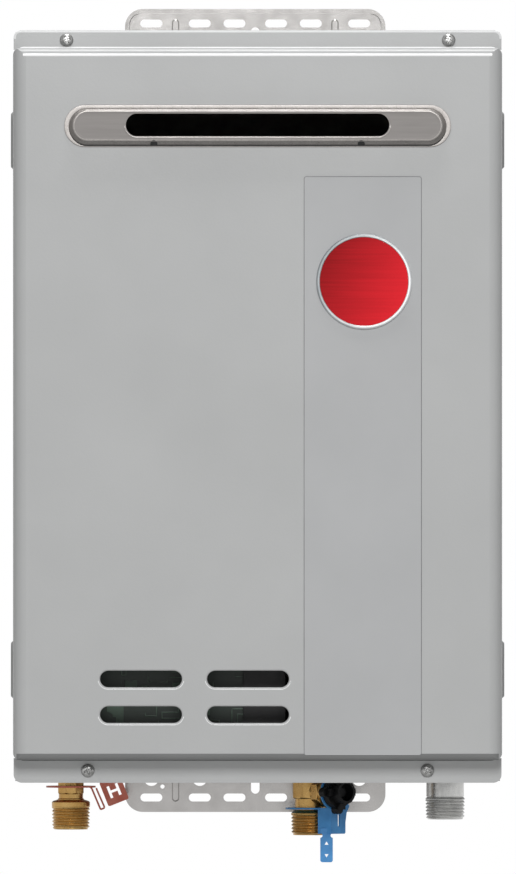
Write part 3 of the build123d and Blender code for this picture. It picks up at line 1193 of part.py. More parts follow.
def water_valve():
    """Brass block with a water bore and a cross bore for the spool."""
    width, depth, height = WATER_VALVE
    body = upright(RectangleRounded(width, depth, 4), SENSOR_TOP, height)
    body -= Pos(0, 0, SENSOR_TOP - 1) * extrude(Circle(WATER_BORE_R), height + 2)
    body = Pos(COLD_X, COLD_Y, 0) * body
    start, end = (COLD_X, WATER_VALVE_FRONT - 1, SPOOL_Z), (COLD_X, SPOOL_BACK, SPOOL_Z)
    return body - rod(start, end, SPOOL_R + RUNNING)


def valve_spool():
    """Turning spool with a cross port and a stem into its motor."""
    front = WATER_VALVE_FRONT
    spool = rod((COLD_X, SPOOL_BACK - FIT, SPOOL_Z), (COLD_X, front + FIT, SPOOL_Z), SPOOL_R)
    below, above = (COLD_X, COLD_Y, SPOOL_Z - 2 * SPOOL_R), (COLD_X, COLD_Y, SPOOL_Z + 2 * SPOOL_R)
    port = rod(below, above, WATER_BORE_R - 1.5)
    return spool - port + rod((COLD_X, front + 1, SPOOL_Z), (COLD_X, front - VALVE_STEM, SPOOL_Z), SHAFT_R)


def valve_motor():
    """Stepper motor on the water valve's front."""
    bore, length = SHAFT_R + RUNNING, VALVE_MOTOR_LENGTH
    can = turned([
        (bore, 0), (VALVE_MOTOR_R, 0), (VALVE_MOTOR_R, length - 2), (VALVE_MOTOR_R - 2, length),
        (0, length), (0, VALVE_STEM + 2), (bore, VALVE_STEM + 2),
    ])
    return Plane(origin=(COLD_X, WATER_VALVE_FRONT, SPOOL_Z), z_dir=(0, -1, 0)) * can


def cold_pipe():
    """Pipe from the water valve to the cooling coil, under and beside the burner box."""
    level = (WATER_VALVE_TOP + BOX_BOTTOM) / 2 + 8
    points = [
        (COLD_X, COLD_Y, WATER_VALVE_TOP), (COLD_X, COLD_Y, level), (COLD_X, RISER_Y, level),
        (COLD_RISER_X, RISER_Y, level), (COLD_RISER_X, RISER_Y, COIL_START_Z),
    ]
    return pipe(points, PIPE_BEND, TUBE_R, TUBE_WALL)


def hot_pipe():
    """Pipe from the serpentine's elbow down to the hot outlet."""
    points = [
        (HOT_RISER_X, TUBE_LAST_Y, COIL_END_Z), (HOT_RISER_X, TUBE_LAST_Y, BOX_BOTTOM),
        (HOT_X, HOT_Y, BOX_BOTTOM - 52), (HOT_X, HOT_Y, INLET_TOP),
    ]
    return pipe(points, HOT_BEND, TUBE_R, TUBE_WALL)


def pipe_clip(x, y, z):
    """Sensor block clipped around an upright pipe."""
    grip = Circle(TUBE_R + CLIP_WALL) + Pos(0, -TUBE_R - 5.5) * RectangleRounded(10, 8, 1)
    return Pos(x, y, z) * extrude(grip - Circle(TUBE_R + BRAZE), CLIP_LENGTH)


def thermistors():
    """Temperature sensors clipped on the hot and cold pipes."""
    return [
        pipe_clip(HOT_RISER_X, TUBE_LAST_Y, BOX_TOP),
        pipe_clip(COLD_RISER_X, RISER_Y, BOX_BOTTOM + BURNER_BOX_HEIGHT / 3),
    ]


def freeze_heaters():
    """Ceramic frost heaters clipped on the hot pipe near the floor."""
    return [pipe_clip(HOT_X, HOT_Y, INLET_TOP + CLIP_LENGTH * step) for step in (1, 3)]


def electrode_insulators():
    """Ceramic bodies of the spark and flame electrodes in the burner box's front."""
    bore = ELECTRODE_R + 0.1
    bodies = []
    for x in ELECTRODE_X:
        body = turned([
            (bore, -CERAMIC_IN), (CERAMIC_R, -CERAMIC_IN), (CERAMIC_R, 0.2), (CERAMIC_COLLAR_R, 0.2),
            (CERAMIC_COLLAR_R, 5), (CERAMIC_R + 0.4, 6), (CERAMIC_R + 0.4, CERAMIC_OUT - 2),
            (CERAMIC_R - 0.6, CERAMIC_OUT), (bore, CERAMIC_OUT),
        ])
        bodies.append(Plane(origin=(x, STACK_FRONT, ELECTRODE_Z), z_dir=(0, -1, 0)) * body)
    return bodies


def electrode_rods():
    """Metal rods through the insulators to the burners."""
    front, back = STACK_FRONT - ELECTRODE_OUT, STACK_FRONT + ELECTRODE_IN
    return [rod((x, front, ELECTRODE_Z), (x, back, ELECTRODE_Z), ELECTRODE_R) for x in ELECTRODE_X]


def igniter():
    """Potted igniter on the case's left-hand side."""
    width, length, height = IGNITER_SIZE
    left = SHEET - CASE_WIDTH / 2
    outline = RectangleRounded(length, height, 3)
    return along_x(Pos(IGNITER_FRONT + length / 2, ELECTRODE_Z) * outline, left, width)


def ignition_lead():
    """High-voltage lead from the igniter to the spark electrode."""
    x, z = ELECTRODE_X[0], ELECTRODE_Z
    start = SHEET - CASE_WIDTH / 2 + IGNITER_SIZE[0]
    end_y = STACK_FRONT - ELECTRODE_OUT
    near_y, far_y = end_y + 10, end_y - 14
    points = [
        (start, near_y, z), (start + 20, near_y, z), (start + 36, far_y, z), (x, far_y, z), (x, end_y, z),
    ]
    return pipe(points, 8.0, LEAD_R, 0)


def board_tray():
    """Dark plastic tray for the board, on two legs that stand on the floor."""
    left, right = TRAY_X
    bottom, top = TRAY_Z
    outline = Pos((left + right) / 2, (bottom + top) / 2) * RectangleRounded(right - left, top - bottom, 4)
    tray = facing(outline, TRAY_BACK, TRAY_DEPTH)
    pocket_x = (left + TRAY_WALL, BOARD_X[1] + FIT)
    pocket_z = (bottom + TRAY_WALL, top - TRAY_WALL)
    tray -= block(pocket_x, (TRAY_FRONT - 1, TRAY_BACK - TRAY_WALL), pocket_z)
    width, depth = TRAY_LEG
    for x in (left + width, right - 2 * width):
        tray += block((x, x + width), (TRAY_BACK - depth, TRAY_BACK), (FLOOR, bottom + 4))
    for x in (BOARD_X[0] + POST_IN, BOARD_X[1] - POST_IN):
        for z in (bottom + POST_IN, top - POST_IN):
            tray += rod((x, TRAY_BACK - 1, z), (x, BOARD_BACK, z), POST_R)
    return tray


def control_board():
    """Circuit board on the tray's posts."""
    clear = TRAY_WALL + FIT
    return block(BOARD_X, (BOARD_FRONT, BOARD_BACK), (TRAY_Z[0] + clear, TRAY_Z[1] - clear))


def board_parts():
    """Relays, capacitors and plug sockets on the board."""
    left = BOARD_X[0] + 6
    top, bottom = TRAY_Z[1] - 6, TRAY_Z[0] + 6
    parts = []
    for index in range(3):
        x = left + RELAY_PITCH * index
        parts.append(block((x, x + RELAY[0]), (BOARD_FRONT - RELAY[1], BOARD_FRONT), (top - RELAY[2], top)))
    for index in range(2):
        x = left + 3 * RELAY_PITCH + CAPACITOR_R + 3 * CAPACITOR_R * index
        z = top - CAPACITOR_R
        parts.append(rod((x, BOARD_FRONT, z), (x, BOARD_FRONT - CAPACITOR_HEIGHT, z), CAPACITOR_R))
    width, depth, height = SOCKET
    for index in range(4):
        x = left + SOCKET_PITCH * index
        parts.append(block((x, x + width), (BOARD_FRONT - depth, BOARD_FRONT), (bottom, bottom + height)))
    return parts


def gas_valve_lead():
    """Lead from the tray's edge to the side of the lower gas coil."""
    coil_y = GAS_VALVE_FRONT - COIL_LENGTH / 2
    x = (TRAY_X[1] + GAS_X) / 2
    z = PLUNGER_Z[0]
    points = [(TRAY_X[1], BOARD_BACK, z), (x, BOARD_BACK, z), (x, coil_y, z), (GAS_X - COIL_R, coil_y, z)]
    return pipe(points, LEAD_BEND, LEAD_R, 0)


def fan_lead():
    """Lead from the fan motor's top over the tray's upper edge."""
    y = FAN_FRONT - FAN_WALL - MOTOR_LENGTH / 2
    bottom, over = FAN_Z + MOTOR_R, max(TRAY_Z[1], FAN_Z + MOTOR_R) + LEAD_ARCH
    points = [(FAN_X, y, bottom), (FAN_X, y, over), (FAN_X, BOARD_BACK, over), (FAN_X, BOARD_BACK, TRAY_Z[1])]
    return pipe(points, 8.0, LEAD_R, 0)


def terminal_block():
    """Three-way supply terminal block on the floor."""
    x, y = GROMMET_AT[0], GROMMET_AT[1] - TERMINAL_GAP - TERMINAL[1] / 2
    width, depth, height = TERMINAL
    body = upright(Pos(x, y) * RectangleRounded(width, depth, 1.5), FLOOR, height)
    for step in (-1, 0, 1):
        centre = x + TERMINAL_PITCH * step
        body -= rod((centre, y, FLOOR + height / 2), (centre, y, FLOOR + height + 1), TERMINAL_HOLE_R)
    return body


def write(node, shape, centred=False):
    """Write one node; case pieces move to the case's centre line."""
    solids = shape if isinstance(shape, list) else [shape]
    group = Compound([solid for item in solids for solid in item.solids()])
    if not centred:
        group = Pos(CASE_SHIFT, 0, 0) * group
    export_step(group, "parts/" + node + ".step")


os.makedirs("parts", exist_ok=True)

write("upper_bracket", upper_bracket(), True)
write("lower_bracket", lower_bracket(), True)
write("case_wrapper", case_wrapper())
write("top_panel", top_panel())
write("bottom_panel", bottom_panel())
write("case_screws", case_screws())
write("front_cover", front_cover())
write("cover_screws", cover_screws())
write("exhaust_trim", exhaust_trim())
write("accent_panel", accent_panel())
write("badge_rim", badge_rim())
write("badge_face", badge_face())
write("hot_outlet", hot_outlet())
write("cold_inlet", cold_inlet())
write("gas_inlet", gas_inlet())
write("cable_grommet", cable_grommet())
write("filter_knob", filter_knob())
write("filter_seal", filter_seal())
write("filter_screen", filter_screen())
write("cold_tag", cold_tag())
write("hot_tag", hot_tag())
write("burner_box", burner_box())
write("burners", burners())
write("gas_manifold", gas_manifold())
write("exchanger_shell", exchanger_shell())
write("exchanger_fins", exchanger_fins())
write("exchanger_tubes", exchanger_tubes())
write("exchanger_coil", exchanger_coil())
write("exhaust_hood", exhaust_hood())
write("exhaust_gasket", exhaust_gasket())
write("fan_scroll", fan_scroll())
write("fan_cover", fan_cover())
write("fan_motor", fan_motor())
write("fan_impeller", fan_impeller())
write("gas_valve", gas_valve())
write("gas_coils", gas_coils())
write("main_gas_plunger", gas_plunger(0))
write("safety_gas_plunger", gas_plunger(1))
write("gas_outlet_pipe", gas_outlet_pipe())
write("flow_sensor", flow_sensor())
write("flow_turbine", flow_turbine())
write("water_valve", water_valve())
write("valve_spool", valve_spool())
write("valve_motor", valve_motor())
write("cold_pipe", cold_pipe())
write("hot_pipe", hot_pipe())
write("thermistors", thermistors())
write("freeze_heaters", freeze_heaters())
write("electrode_insulators", electrode_insulators())
write("electrode_rods", electrode_rods())
write("igniter", igniter())
write("ignition_lead", ignition_lead())
write("board_tray", board_tray())
write("control_board", control_board())
write("board_parts", board_parts())
write("gas_valve_lead", gas_valve_lead())
write("fan_lead", fan_lead())
write("terminal_block", terminal_block())
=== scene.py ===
import json

import bmesh
import bpy
import numpy as np
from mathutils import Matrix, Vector


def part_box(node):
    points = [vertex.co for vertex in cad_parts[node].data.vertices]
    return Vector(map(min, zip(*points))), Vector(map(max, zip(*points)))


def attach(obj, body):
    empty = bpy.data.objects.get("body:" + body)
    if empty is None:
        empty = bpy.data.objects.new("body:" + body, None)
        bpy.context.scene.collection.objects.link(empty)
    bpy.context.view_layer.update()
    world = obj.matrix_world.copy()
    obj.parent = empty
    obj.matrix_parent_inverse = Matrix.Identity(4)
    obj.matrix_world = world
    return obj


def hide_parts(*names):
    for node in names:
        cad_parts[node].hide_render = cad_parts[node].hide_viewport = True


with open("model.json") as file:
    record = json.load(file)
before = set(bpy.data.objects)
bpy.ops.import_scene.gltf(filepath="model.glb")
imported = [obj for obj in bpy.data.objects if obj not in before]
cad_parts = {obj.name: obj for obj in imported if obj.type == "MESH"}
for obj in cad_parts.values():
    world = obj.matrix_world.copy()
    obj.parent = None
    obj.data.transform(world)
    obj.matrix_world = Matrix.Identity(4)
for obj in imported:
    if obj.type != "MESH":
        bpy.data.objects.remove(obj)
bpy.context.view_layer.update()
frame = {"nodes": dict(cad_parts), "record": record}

# Sizes in millimetres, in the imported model's frame
MM = 0.001
TAU = 2 * np.pi
SHIFT = 1.7  # case centre line to the right of the origin
CASE_BOTTOM = 2.63 - 541.0 / 2
FLOOR = CASE_BOTTOM + 14.0  # the case's recessed floor
COVER_FACE = -228.0  # front of the cover's raised pan
COVER_FLANGE = -206.0  # face of its screw strips
COVER_BOTTOM = -269.17
UPPER_BEND = 261.23  # top of the raised pan
LOWER_BEND = -252.37  # its bottom
EDGE_ROUND = 4.8  # round of its upper and lower edges
SIDE_ROUND = 9.5  # round of its sides
CREASE_Z = -252.5  # inside corner of the lower bend
SCREW_R = 4.9  # heads of the cover's screws
LOWER_SCREW_INSET = 52.4 - 37.0  # how much further in the lower pair lies
EXHAUST_Z = 205.63  # middle of the exhaust slot
DRAIN_X = 74.8  # drain notches, left and right of the slot's middle
DRAIN_DROP = 14.2  # their foot below it
LOUVRE_X = (-84.1, -6.9)  # middles of the louvres from the case's centre line
LOUVRE_RISE = (49.5, 75.2)  # and above the cover's lower edge
BRACKET_FIELD = 2.3  # raised field in front of the wall
INLET_TOP = FLOOR + 16.0
HOT = (SHIFT - 135.7, -104.0)
COLD = (SHIFT + 38.2, -110.0)
GAS = (SHIFT + 136.4, -95.0)
THREAD_R = 13.9  # crests of the drawn thread, a little proud of the solid's
THREAD_PITCH = 2.5  # coarser than the real fourteen turns to the inch, so that the turns show
THREAD_DEPTH = 1.15
BRANCH_YAW = np.radians(42.0)
BRANCH_Z = CASE_BOTTOM - 9.3
TAG_SHEET = 1.2

# Counts and shares
RING_COLUMNS = 112  # points round a fitting
SHARP_ANGLE = np.radians(32)  # edges sharper than this aren't shaded smooth
NOISE_RANGE = (0.3, 0.7)  # values that most of a noise pattern lies between
LEAN_SHARE = 0.25  # part of the patches left in a colour that leans


def linear(code):
    """Linear colour of an sRGB hex value."""
    parts = np.array([int(code[i:i + 2], 16) for i in (1, 3, 5)]) / 255
    values = np.where(parts <= 0.04045, parts / 12.92, ((parts + 0.055) / 1.055) ** 2.4)
    return (*map(float, values), 1.0)


def add(tree, kind, inputs=None, stops=None, **settings):
    """Add a node with its settings, colour stops, and inputs that are values or other nodes' sockets."""
    node = tree.nodes.new("ShaderNode" + kind)
    for name, value in settings.items():
        setattr(node, name, value)
    for index, (place, code) in enumerate(stops or []):
        ramp = node.color_ramp.elements
        stop = ramp[index] if index < 2 else ramp.new(place)
        stop.position = place
        stop.color = linear(code)
    for name, value in (inputs or {}).items():
        if isinstance(value, bpy.types.NodeSocket):
            tree.links.new(value, node.inputs[name])
        else:
            node.inputs[name].default_value = value
    return node


def start_material(name):
    """New node material: its tree, its shader and the object coordinates."""
    material = bpy.data.materials.new(name)
    material.use_nodes = True
    tree = material.node_tree
    shader = tree.nodes["Principled BSDF"]
    place = add(tree, "TexCoord").outputs["Object"]
    return material, tree, shader, place


def per_mm(size):
    """Pattern scale that repeats about once in a size in millimetres."""
    return 1 / (size * MM)


def finish(name, codes, grain, bump, roughness, patch=40.0, spread=0.06, stretch=(1, 1, 1), lean=None, **sockets):
    """Surface of two near colours in soft patches with a finer grain in height and roughness.

    The patch size, grain and bump are in millimetres; the roughness varies by the spread. The stretch lengthens
    patches and grain along an axis where it is small. A lean, which is a centre and a slope per metre, turns the
    first colour into the second across the surface instead, and leaves a share of the patches.
    """
    material, tree, shader, place = start_material(name)
    along = add(tree, "Mapping", {"Vector": place, "Scale": stretch}).outputs["Vector"]
    tone = add(tree, "TexNoise", {"Vector": along, "Scale": per_mm(patch), "Detail": 3.0})
    fine = add(tree, "TexNoise", {"Vector": along, "Scale": per_mm(grain), "Detail": 2.0})
    share = tone.outputs["Fac"]
    if lean:
        middle = 0.5 * (1 - LEAN_SHARE) - float(np.dot(*lean))
        level = add(tree, "VectorMath", {0: place, 1: lean[1]}, operation="DOT_PRODUCT").outputs["Value"]
        level = add(tree, "Math", {0: level, 1: middle}, operation="ADD").outputs["Value"]
        share = add(tree, "Math", {0: share, 1: LEAN_SHARE, 2: level}, operation="MULTIPLY_ADD").outputs["Value"]
    colour = add(tree, "ValToRGB", {"Fac": share}, list(zip(NOISE_RANGE, codes)))
    gloss = add(tree, "MapRange", {
        "Value": fine.outputs["Fac"], "From Min": NOISE_RANGE[0], "From Max": NOISE_RANGE[1],
        "To Min": roughness - spread, "To Max": roughness + spread,
    })
    height = add(tree, "Bump", {"Height": fine.outputs["Fac"], "Strength": 1.0, "Distance": bump * MM})
    tree.links.new(colour.outputs["Color"], shader.inputs["Base Color"])
    tree.links.new(gloss.outputs["Result"], shader.inputs["Roughness"])
    tree.links.new(height.outputs["Normal"], shader.inputs["Normal"])
    for socket, value in sockets.items():
        shader.inputs[socket.replace("_", " ")].default_value = value
    return material


def circuit_laminate():
    """Glass-epoxy laminate under green solder mask: broken copper tracks and pads show paler through it.

    Tracks are lines at equal square distances, 4 mm apart, from scattered points, kept in patches. Each is full
    as far as its core's half width and fades to the wider one.
    """
    material, tree, shader, place = start_material("solder_masked_laminate")
    cell, spacing, core_half, fade_half = 16.0, 4.0, 0.256, 0.448
    cells = add(tree, "TexVoronoi", {"Vector": place, "Scale": per_mm(cell), "Randomness": 0.85},
                feature="F1", distance="CHEBYCHEV", voronoi_dimensions="3D")
    spaced = add(tree, "Math", {0: cells.outputs["Distance"], 1: spacing / 2 / cell}, operation="PINGPONG")
    patch = add(tree, "TexNoise", {"Vector": place, "Scale": per_mm(14.0), "Detail": 1.0})
    track = add(tree, "MapRange", {
        "Value": spaced.outputs["Value"], "From Min": core_half / cell, "From Max": fade_half / cell,
        "To Min": 1.0, "To Max": 0.0,
    })
    kept = add(tree, "MapRange", {"Value": patch.outputs["Fac"], "From Min": 0.44, "From Max": 0.5})
    drawn = add(tree, "Math", {0: track.outputs["Result"], 1: kept.outputs["Result"]}, operation="MULTIPLY")
    colour = add(tree, "ValToRGB", {"Fac": drawn.outputs["Value"]}, [(0.0, "#242F28"), (1.0, "#4C6152")])
    height = add(tree, "Bump", {"Height": drawn.outputs["Value"], "Strength": 1.0, "Distance": 0.06 * MM})
    tree.links.new(colour.outputs["Color"], shader.inputs["Base Color"])
    tree.links.new(height.outputs["Normal"], shader.inputs["Normal"])
    shader.inputs["Roughness"].default_value = 0.38
    return material


def spangled_zinc():
    """Hot-dipped zinc on steel sheet: pale, faint crystal patches about 9 mm wide with soft streaks."""
    material, tree, shader, place = start_material("hot_dipped_zinc")
    warp = add(tree, "TexNoise", {"Vector": place, "Scale": per_mm(16.0), "Detail": 3.0})
    cells = add(tree, "TexVoronoi", {"Vector": place, "Scale": per_mm(9.0), "Smoothness": 0.6},
                feature="SMOOTH_F1")
    mixed = add(tree, "Mix", {"Factor": 0.35, 2: warp.outputs["Fac"], 3: cells.outputs["Distance"]},
                data_type="FLOAT")
    colour = add(tree, "ValToRGB", {"Fac": mixed.outputs[0]}, [(0.25, "#A6A4A2"), (0.65, "#B2B0AE")])
    gloss = add(tree, "MapRange", {"Value": mixed.outputs[0], "To Min": 0.1, "To Max": 0.16})
    height = add(tree, "Bump", {"Height": warp.outputs["Fac"], "Strength": 1.0, "Distance": 0.12 * MM})
    tree.links.new(colour.outputs["Color"], shader.inputs["Base Color"])
    tree.links.new(gloss.outputs["Result"], shader.inputs["Roughness"])
    tree.links.new(height.outputs["Normal"], shader.inputs["Normal"])
    shader.inputs["Metallic"].default_value = 0.95
    return material


# Polyester powder coat: satin, with a faint orange peel about 1.6 mm across and hardly any colour change
cover_paint = finish(
    "grey_powder_coat", ("#B0B1B1", "#B5B6B6"), grain=1.6, bump=0.05, roughness=0.24,
    patch=90.0, spread=0.03, Specular_IOR_Level=0.3,
)
# The same coat on the case, a little duller
case_paint = finish(
    "case_powder_coat", ("#B0B1B1", "#B5B6B6"), grain=1.6, bump=0.05, roughness=0.45,
    patch=90.0, spread=0.03, Specular_IOR_Level=0.15,
)
# Pale shiny metal on the louvres' lower lips, only where they face up: a painted highlight where they catch the
# light
lip_highlight_zinc = finish(
    "lip_highlight_metal", ("#E4E5E5", "#ECEDED"), grain=1.6, bump=0.004, roughness=0.3,
    patch=30.0, spread=0.03, Metallic=0.6,
)
# Pale coat drawn on the bends of the upper edge: painted highlights that show as two bright lines
bend_highlight_paint = finish(
    "bend_highlight_coat", ("#F0F1F1", "#F8F8F8"), grain=1.6, bump=0.01, roughness=0.2, patch=60.0, spread=0.03,
)
# Pale coat drawn on the upper rim: a softer painted highlight line
rim_highlight_paint = finish(
    "rim_highlight_coat", ("#D8D9D9", "#DEDFDF"), grain=1.6, bump=0.01, roughness=0.3, patch=60.0, spread=0.03,
)
# Painted shade in the crease of the lower bend, where little light gets in: nearly black
crease_shade_paint = finish(
    "crease_shade_coat", ("#5A5B5B", "#666767"), grain=1.6, bump=0.02, roughness=0.6,
    patch=60.0, spread=0.03, Specular_IOR_Level=0.1,
)
# Painted shade on the lower bend, which faces the ground: a dark band
bend_shade_paint = finish(
    "bend_shade_coat", ("#7A7B7B", "#818282"), grain=1.6, bump=0.02, roughness=0.6,
    patch=60.0, spread=0.03, Specular_IOR_Level=0.1,
)
# Vinyl film over the cover: a little smoother and a shade cooler than the paint
accent_film = finish(
    "grey_vinyl_film", ("#AFB0B1", "#B4B5B6"), grain=0.9, bump=0.02, roughness=0.38,
    patch=70.0, spread=0.03, Specular_IOR_Level=0.15,
)
# Painted shade at the edge of that film: a thin dark line
film_edge_shade = finish("film_edge_shade", ("#6E6F70", "#828384"), grain=3.0, bump=0.02, roughness=0.6, patch=20.0)
zinc = spangled_zinc()
# Painted shade on the step round the bracket field: a dull grey line
step_shade_zinc = finish(
    "step_shade_zinc_finish", ("#8E8C8A", "#999795"), grain=2.0, bump=0.01, roughness=0.5, patch=20.0, Metallic=0.5,
)
# Brushed stainless sheet: fine lines along X, 0.5 mm apart and drawn coarser than real ones, with soft highlights
stainless = finish(
    "brushed_stainless", ("#605D5B", "#656260"), grain=0.5, bump=0.006, roughness=0.42,
    patch=3.0, spread=0.05, stretch=(0.02, 1, 1), Metallic=0.55,
)
# Polished edges of that sheet, where the brushing stops: paler and smoother
polished = finish(
    "polished_stainless", ("#8B8784", "#96928F"), grain=0.6, bump=0.004, roughness=0.3,
    patch=6.0, spread=0.05, Metallic=0.6,
)
# Painted sheen of the badge: its colours grow brighter towards its lower right
painted_badge_sheen = (np.mean(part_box("badge_rim"), 0), (5.5, 0, -3.0))
# Turned aluminium rim of the badge: bright, with a painted sheen that brightens towards its lower right
badge_metal = finish(
    "turned_aluminium", ("#868B8D", "#D2D4D5"), grain=1.2, bump=0.01, roughness=0.36,
    patch=8.0, lean=painted_badge_sheen, Metallic=0.5,
)
# Clear red lacquer over aluminium brushed along X: lines 0.8 mm apart, drawn coarser than real ones, with a painted
# sheen towards the lower right
red_lacquer = finish(
    "red_lacquered_aluminium", ("#6E0C10", "#AC1A22"), grain=0.8, bump=0.006, roughness=0.42,
    patch=1.6, stretch=(0.03, 1, 1), lean=painted_badge_sheen, Metallic=0.6, Specular_IOR_Level=0.1,
)
# Machined brass, slightly dulled, with browner patches
brass = finish(
    "machined_brass", ("#A8834A", "#C3A065"), grain=1.0, bump=0.005, roughness=0.3,
    patch=16.0, spread=0.05, Metallic=0.95,
)
# Zinc-plated steel nipple: dull grey with a soft sheen
zinc_steel = finish(
    "zinc_plated_steel", ("#B0B0AF", "#CFCFCD"), grain=1.2, bump=0.008, roughness=0.32, patch=12.0, Metallic=0.9,
)
# Nickel-plated screws: bright and smooth, with darker spots
screw_steel = finish(
    "nickel_plated_steel", ("#7C7C7B", "#B4B4B3"), grain=0.9, bump=0.02, roughness=0.3, patch=3.0, Metallic=0.9,
)
# Moulded black nylon with a fine spark-eroded grain
black_plastic = finish(
    "moulded_black_nylon", ("#0C0C0D", "#151516"), grain=0.7, bump=0.05, roughness=0.45,
    patch=20.0, Specular_IOR_Level=0.15,
)
# The same nylon in dark grey for the tray behind the louvres
tray_plastic = finish(
    "moulded_dark_grey_nylon", ("#242425", "#303031"), grain=0.7, bump=0.05, roughness=0.5, patch=20.0,
)
# Moulded polypropylene tags: soft and slightly waxy
red_tag = finish("red_polypropylene", ("#C06452", "#CF7A69"), grain=1.0, bump=0.03, roughness=0.44, patch=8.0)
blue_tag = finish("blue_polypropylene", ("#3178B4", "#468FCB"), grain=1.0, bump=0.03, roughness=0.4, patch=8.0)
# Drawn copper with brown heat tint in patches
copper = finish(
    "heat_tinted_copper", ("#8A4B32", "#B97A5A"), grain=1.5, bump=0.03, roughness=0.34,
    patch=18.0, spread=0.1, Metallic=0.95,
)
# Aluminised steel sheet: soft silver with a slight crystal mottle
aluminised = finish(
    "aluminised_steel", ("#8E8F90", "#ACADAE"), grain=2.2, bump=0.04, roughness=0.46,
    patch=12.0, spread=0.08, Metallic=0.75,
)
# Die-cast aluminium: matt grey, finely pebbled
cast_aluminium = finish(
    "die_cast_aluminium", ("#8D8E8E", "#A9AAAA"), grain=0.9, bump=0.12, roughness=0.55, patch=15.0, Metallic=0.6,
)
# Moulded nylon in natural white: a little creamy and satin
white_plastic = finish("white_nylon", ("#D8D8D2", "#E4E4DF"), grain=0.8, bump=0.04, roughness=0.46, patch=15.0)
# Moulded polyester of coils and terminals: dark grey and satin
grey_plastic = finish(
    "dark_grey_polyester", ("#3A3B3C", "#4A4B4C"), grain=0.7, bump=0.05, roughness=0.5, patch=15.0,
)
laminate = circuit_laminate()
# Moulded rubber of seals and grommet: black and dull
rubber = finish("black_rubber", ("#161617", "#232324"), grain=1.4, bump=0.06, roughness=0.7, patch=10.0)
# Extruded sheaths of the leads: pale vinyl and red silicone, both satin
lead_sheath = finish("pale_lead_sheath", ("#BDBDB2", "#D0D0C6"), grain=1.2, bump=0.03, roughness=0.5, patch=10.0)
ignition_sheath = finish(
    "red_silicone_sheath", ("#8F2A20", "#A63A2E"), grain=1.2, bump=0.03, roughness=0.45, patch=10.0,
)
# Glazed alumina of the electrodes: cream white and glossy
ceramic = finish(
    "glazed_alumina", ("#DCD8CE", "#EAE7DF"), grain=1.0, bump=0.02, roughness=0.25, patch=9.0, Coat_Weight=0.3,
)
# Woven steel of the filter's screen: a fine bright and dark mottle
screen_steel = finish(
    "woven_steel_screen", ("#6C6C6C", "#A8A8A8"), grain=0.4, bump=0.1, roughness=0.4, patch=0.8, Metallic=0.9,
)

slot_materials = {
    "cover_paint": cover_paint, "case_paint": case_paint, "galvanised_steel": zinc,
    "stainless_steel": stainless, "accent_film": accent_film, "badge_metal": badge_metal,
    "red_lacquer": red_lacquer, "brass": brass, "zinc_steel": zinc_steel, "screw_steel": screw_steel,
    "black_plastic": black_plastic, "red_tag_plastic": red_tag, "blue_tag_plastic": blue_tag, "copper": copper,
    "aluminised_steel": aluminised, "cast_aluminium": cast_aluminium, "white_plastic": white_plastic,
    "grey_plastic": grey_plastic, "circuit_board": laminate, "rubber": rubber, "lead_sheath": lead_sheath,
    "ignition_sheath": ignition_sheath, "white_ceramic": ceramic, "screen_steel": screen_steel,
}
node_materials = {"board_tray": tray_plastic}
for subpart in frame["record"]["subparts"]:
    mesh = frame["nodes"][subpart["node"]].data
    mesh.materials.clear()
    mesh.materials.append(node_materials.get(subpart["node"], slot_materials[subpart["material_slot"]]))


def grid_mesh(points, loop_rows=False, loop_columns=False):
    """Points of a grid (rows, columns, 3) and the quads between its neighbours, closed over where it loops."""
    rows, columns = points.shape[:2]
    index = np.arange(rows * columns).reshape(rows, columns)
    if loop_rows:
        index = np.concatenate([index, index[:1]], 0)
    if loop_columns:
        index = np.concatenate([index, index[:, :1]], 1)
    corners = (index[:-1, :-1], index[:-1, 1:], index[1:, 1:], index[1:, :-1])
    return points.reshape(-1, 3), np.stack([corner.ravel() for corner in corners], 1)


def ring_mesh(points):
    """Grid closed over both ways, such as a band or a pipe with a wall."""
    return grid_mesh(points, loop_rows=True, loop_columns=True)


def slab_mesh(front, back, keep, loop=False):
    """Plate between two grids of points, without the cells where keep is false, round a ring if it loops.

    Kept cells give a front and a back quad; a wall stands on each grid line where kept meets left out.
    """
    rows, columns = front.shape[:2]
    index = np.arange(rows * columns).reshape(rows, columns)
    if loop:
        index = np.concatenate([index, index[:, :1]], 1)
    cells = np.stack([index[:-1, :-1], index[:-1, 1:], index[1:, 1:], index[1:, :-1]], 2)[keep]
    edge = np.pad(keep, 1)
    across = edge[1:, 1:-1] != edge[:-1, 1:-1]
    along = edge[1:-1, 1:] != edge[1:-1, :-1]
    if loop:
        along[:, 0], along[:, -1] = keep[:, 0] != keep[:, -1], False
    starts = np.concatenate([index[:, :-1][across], index[:-1, :][along]])
    ends = np.concatenate([index[:, 1:][across], index[1:, :][along]])
    shift = rows * columns
    walls = np.stack([starts, ends, ends + shift, starts + shift], 1)
    points = np.concatenate([front.reshape(-1, 3), back.reshape(-1, 3)])
    return points, np.concatenate([cells, cells + shift, walls])


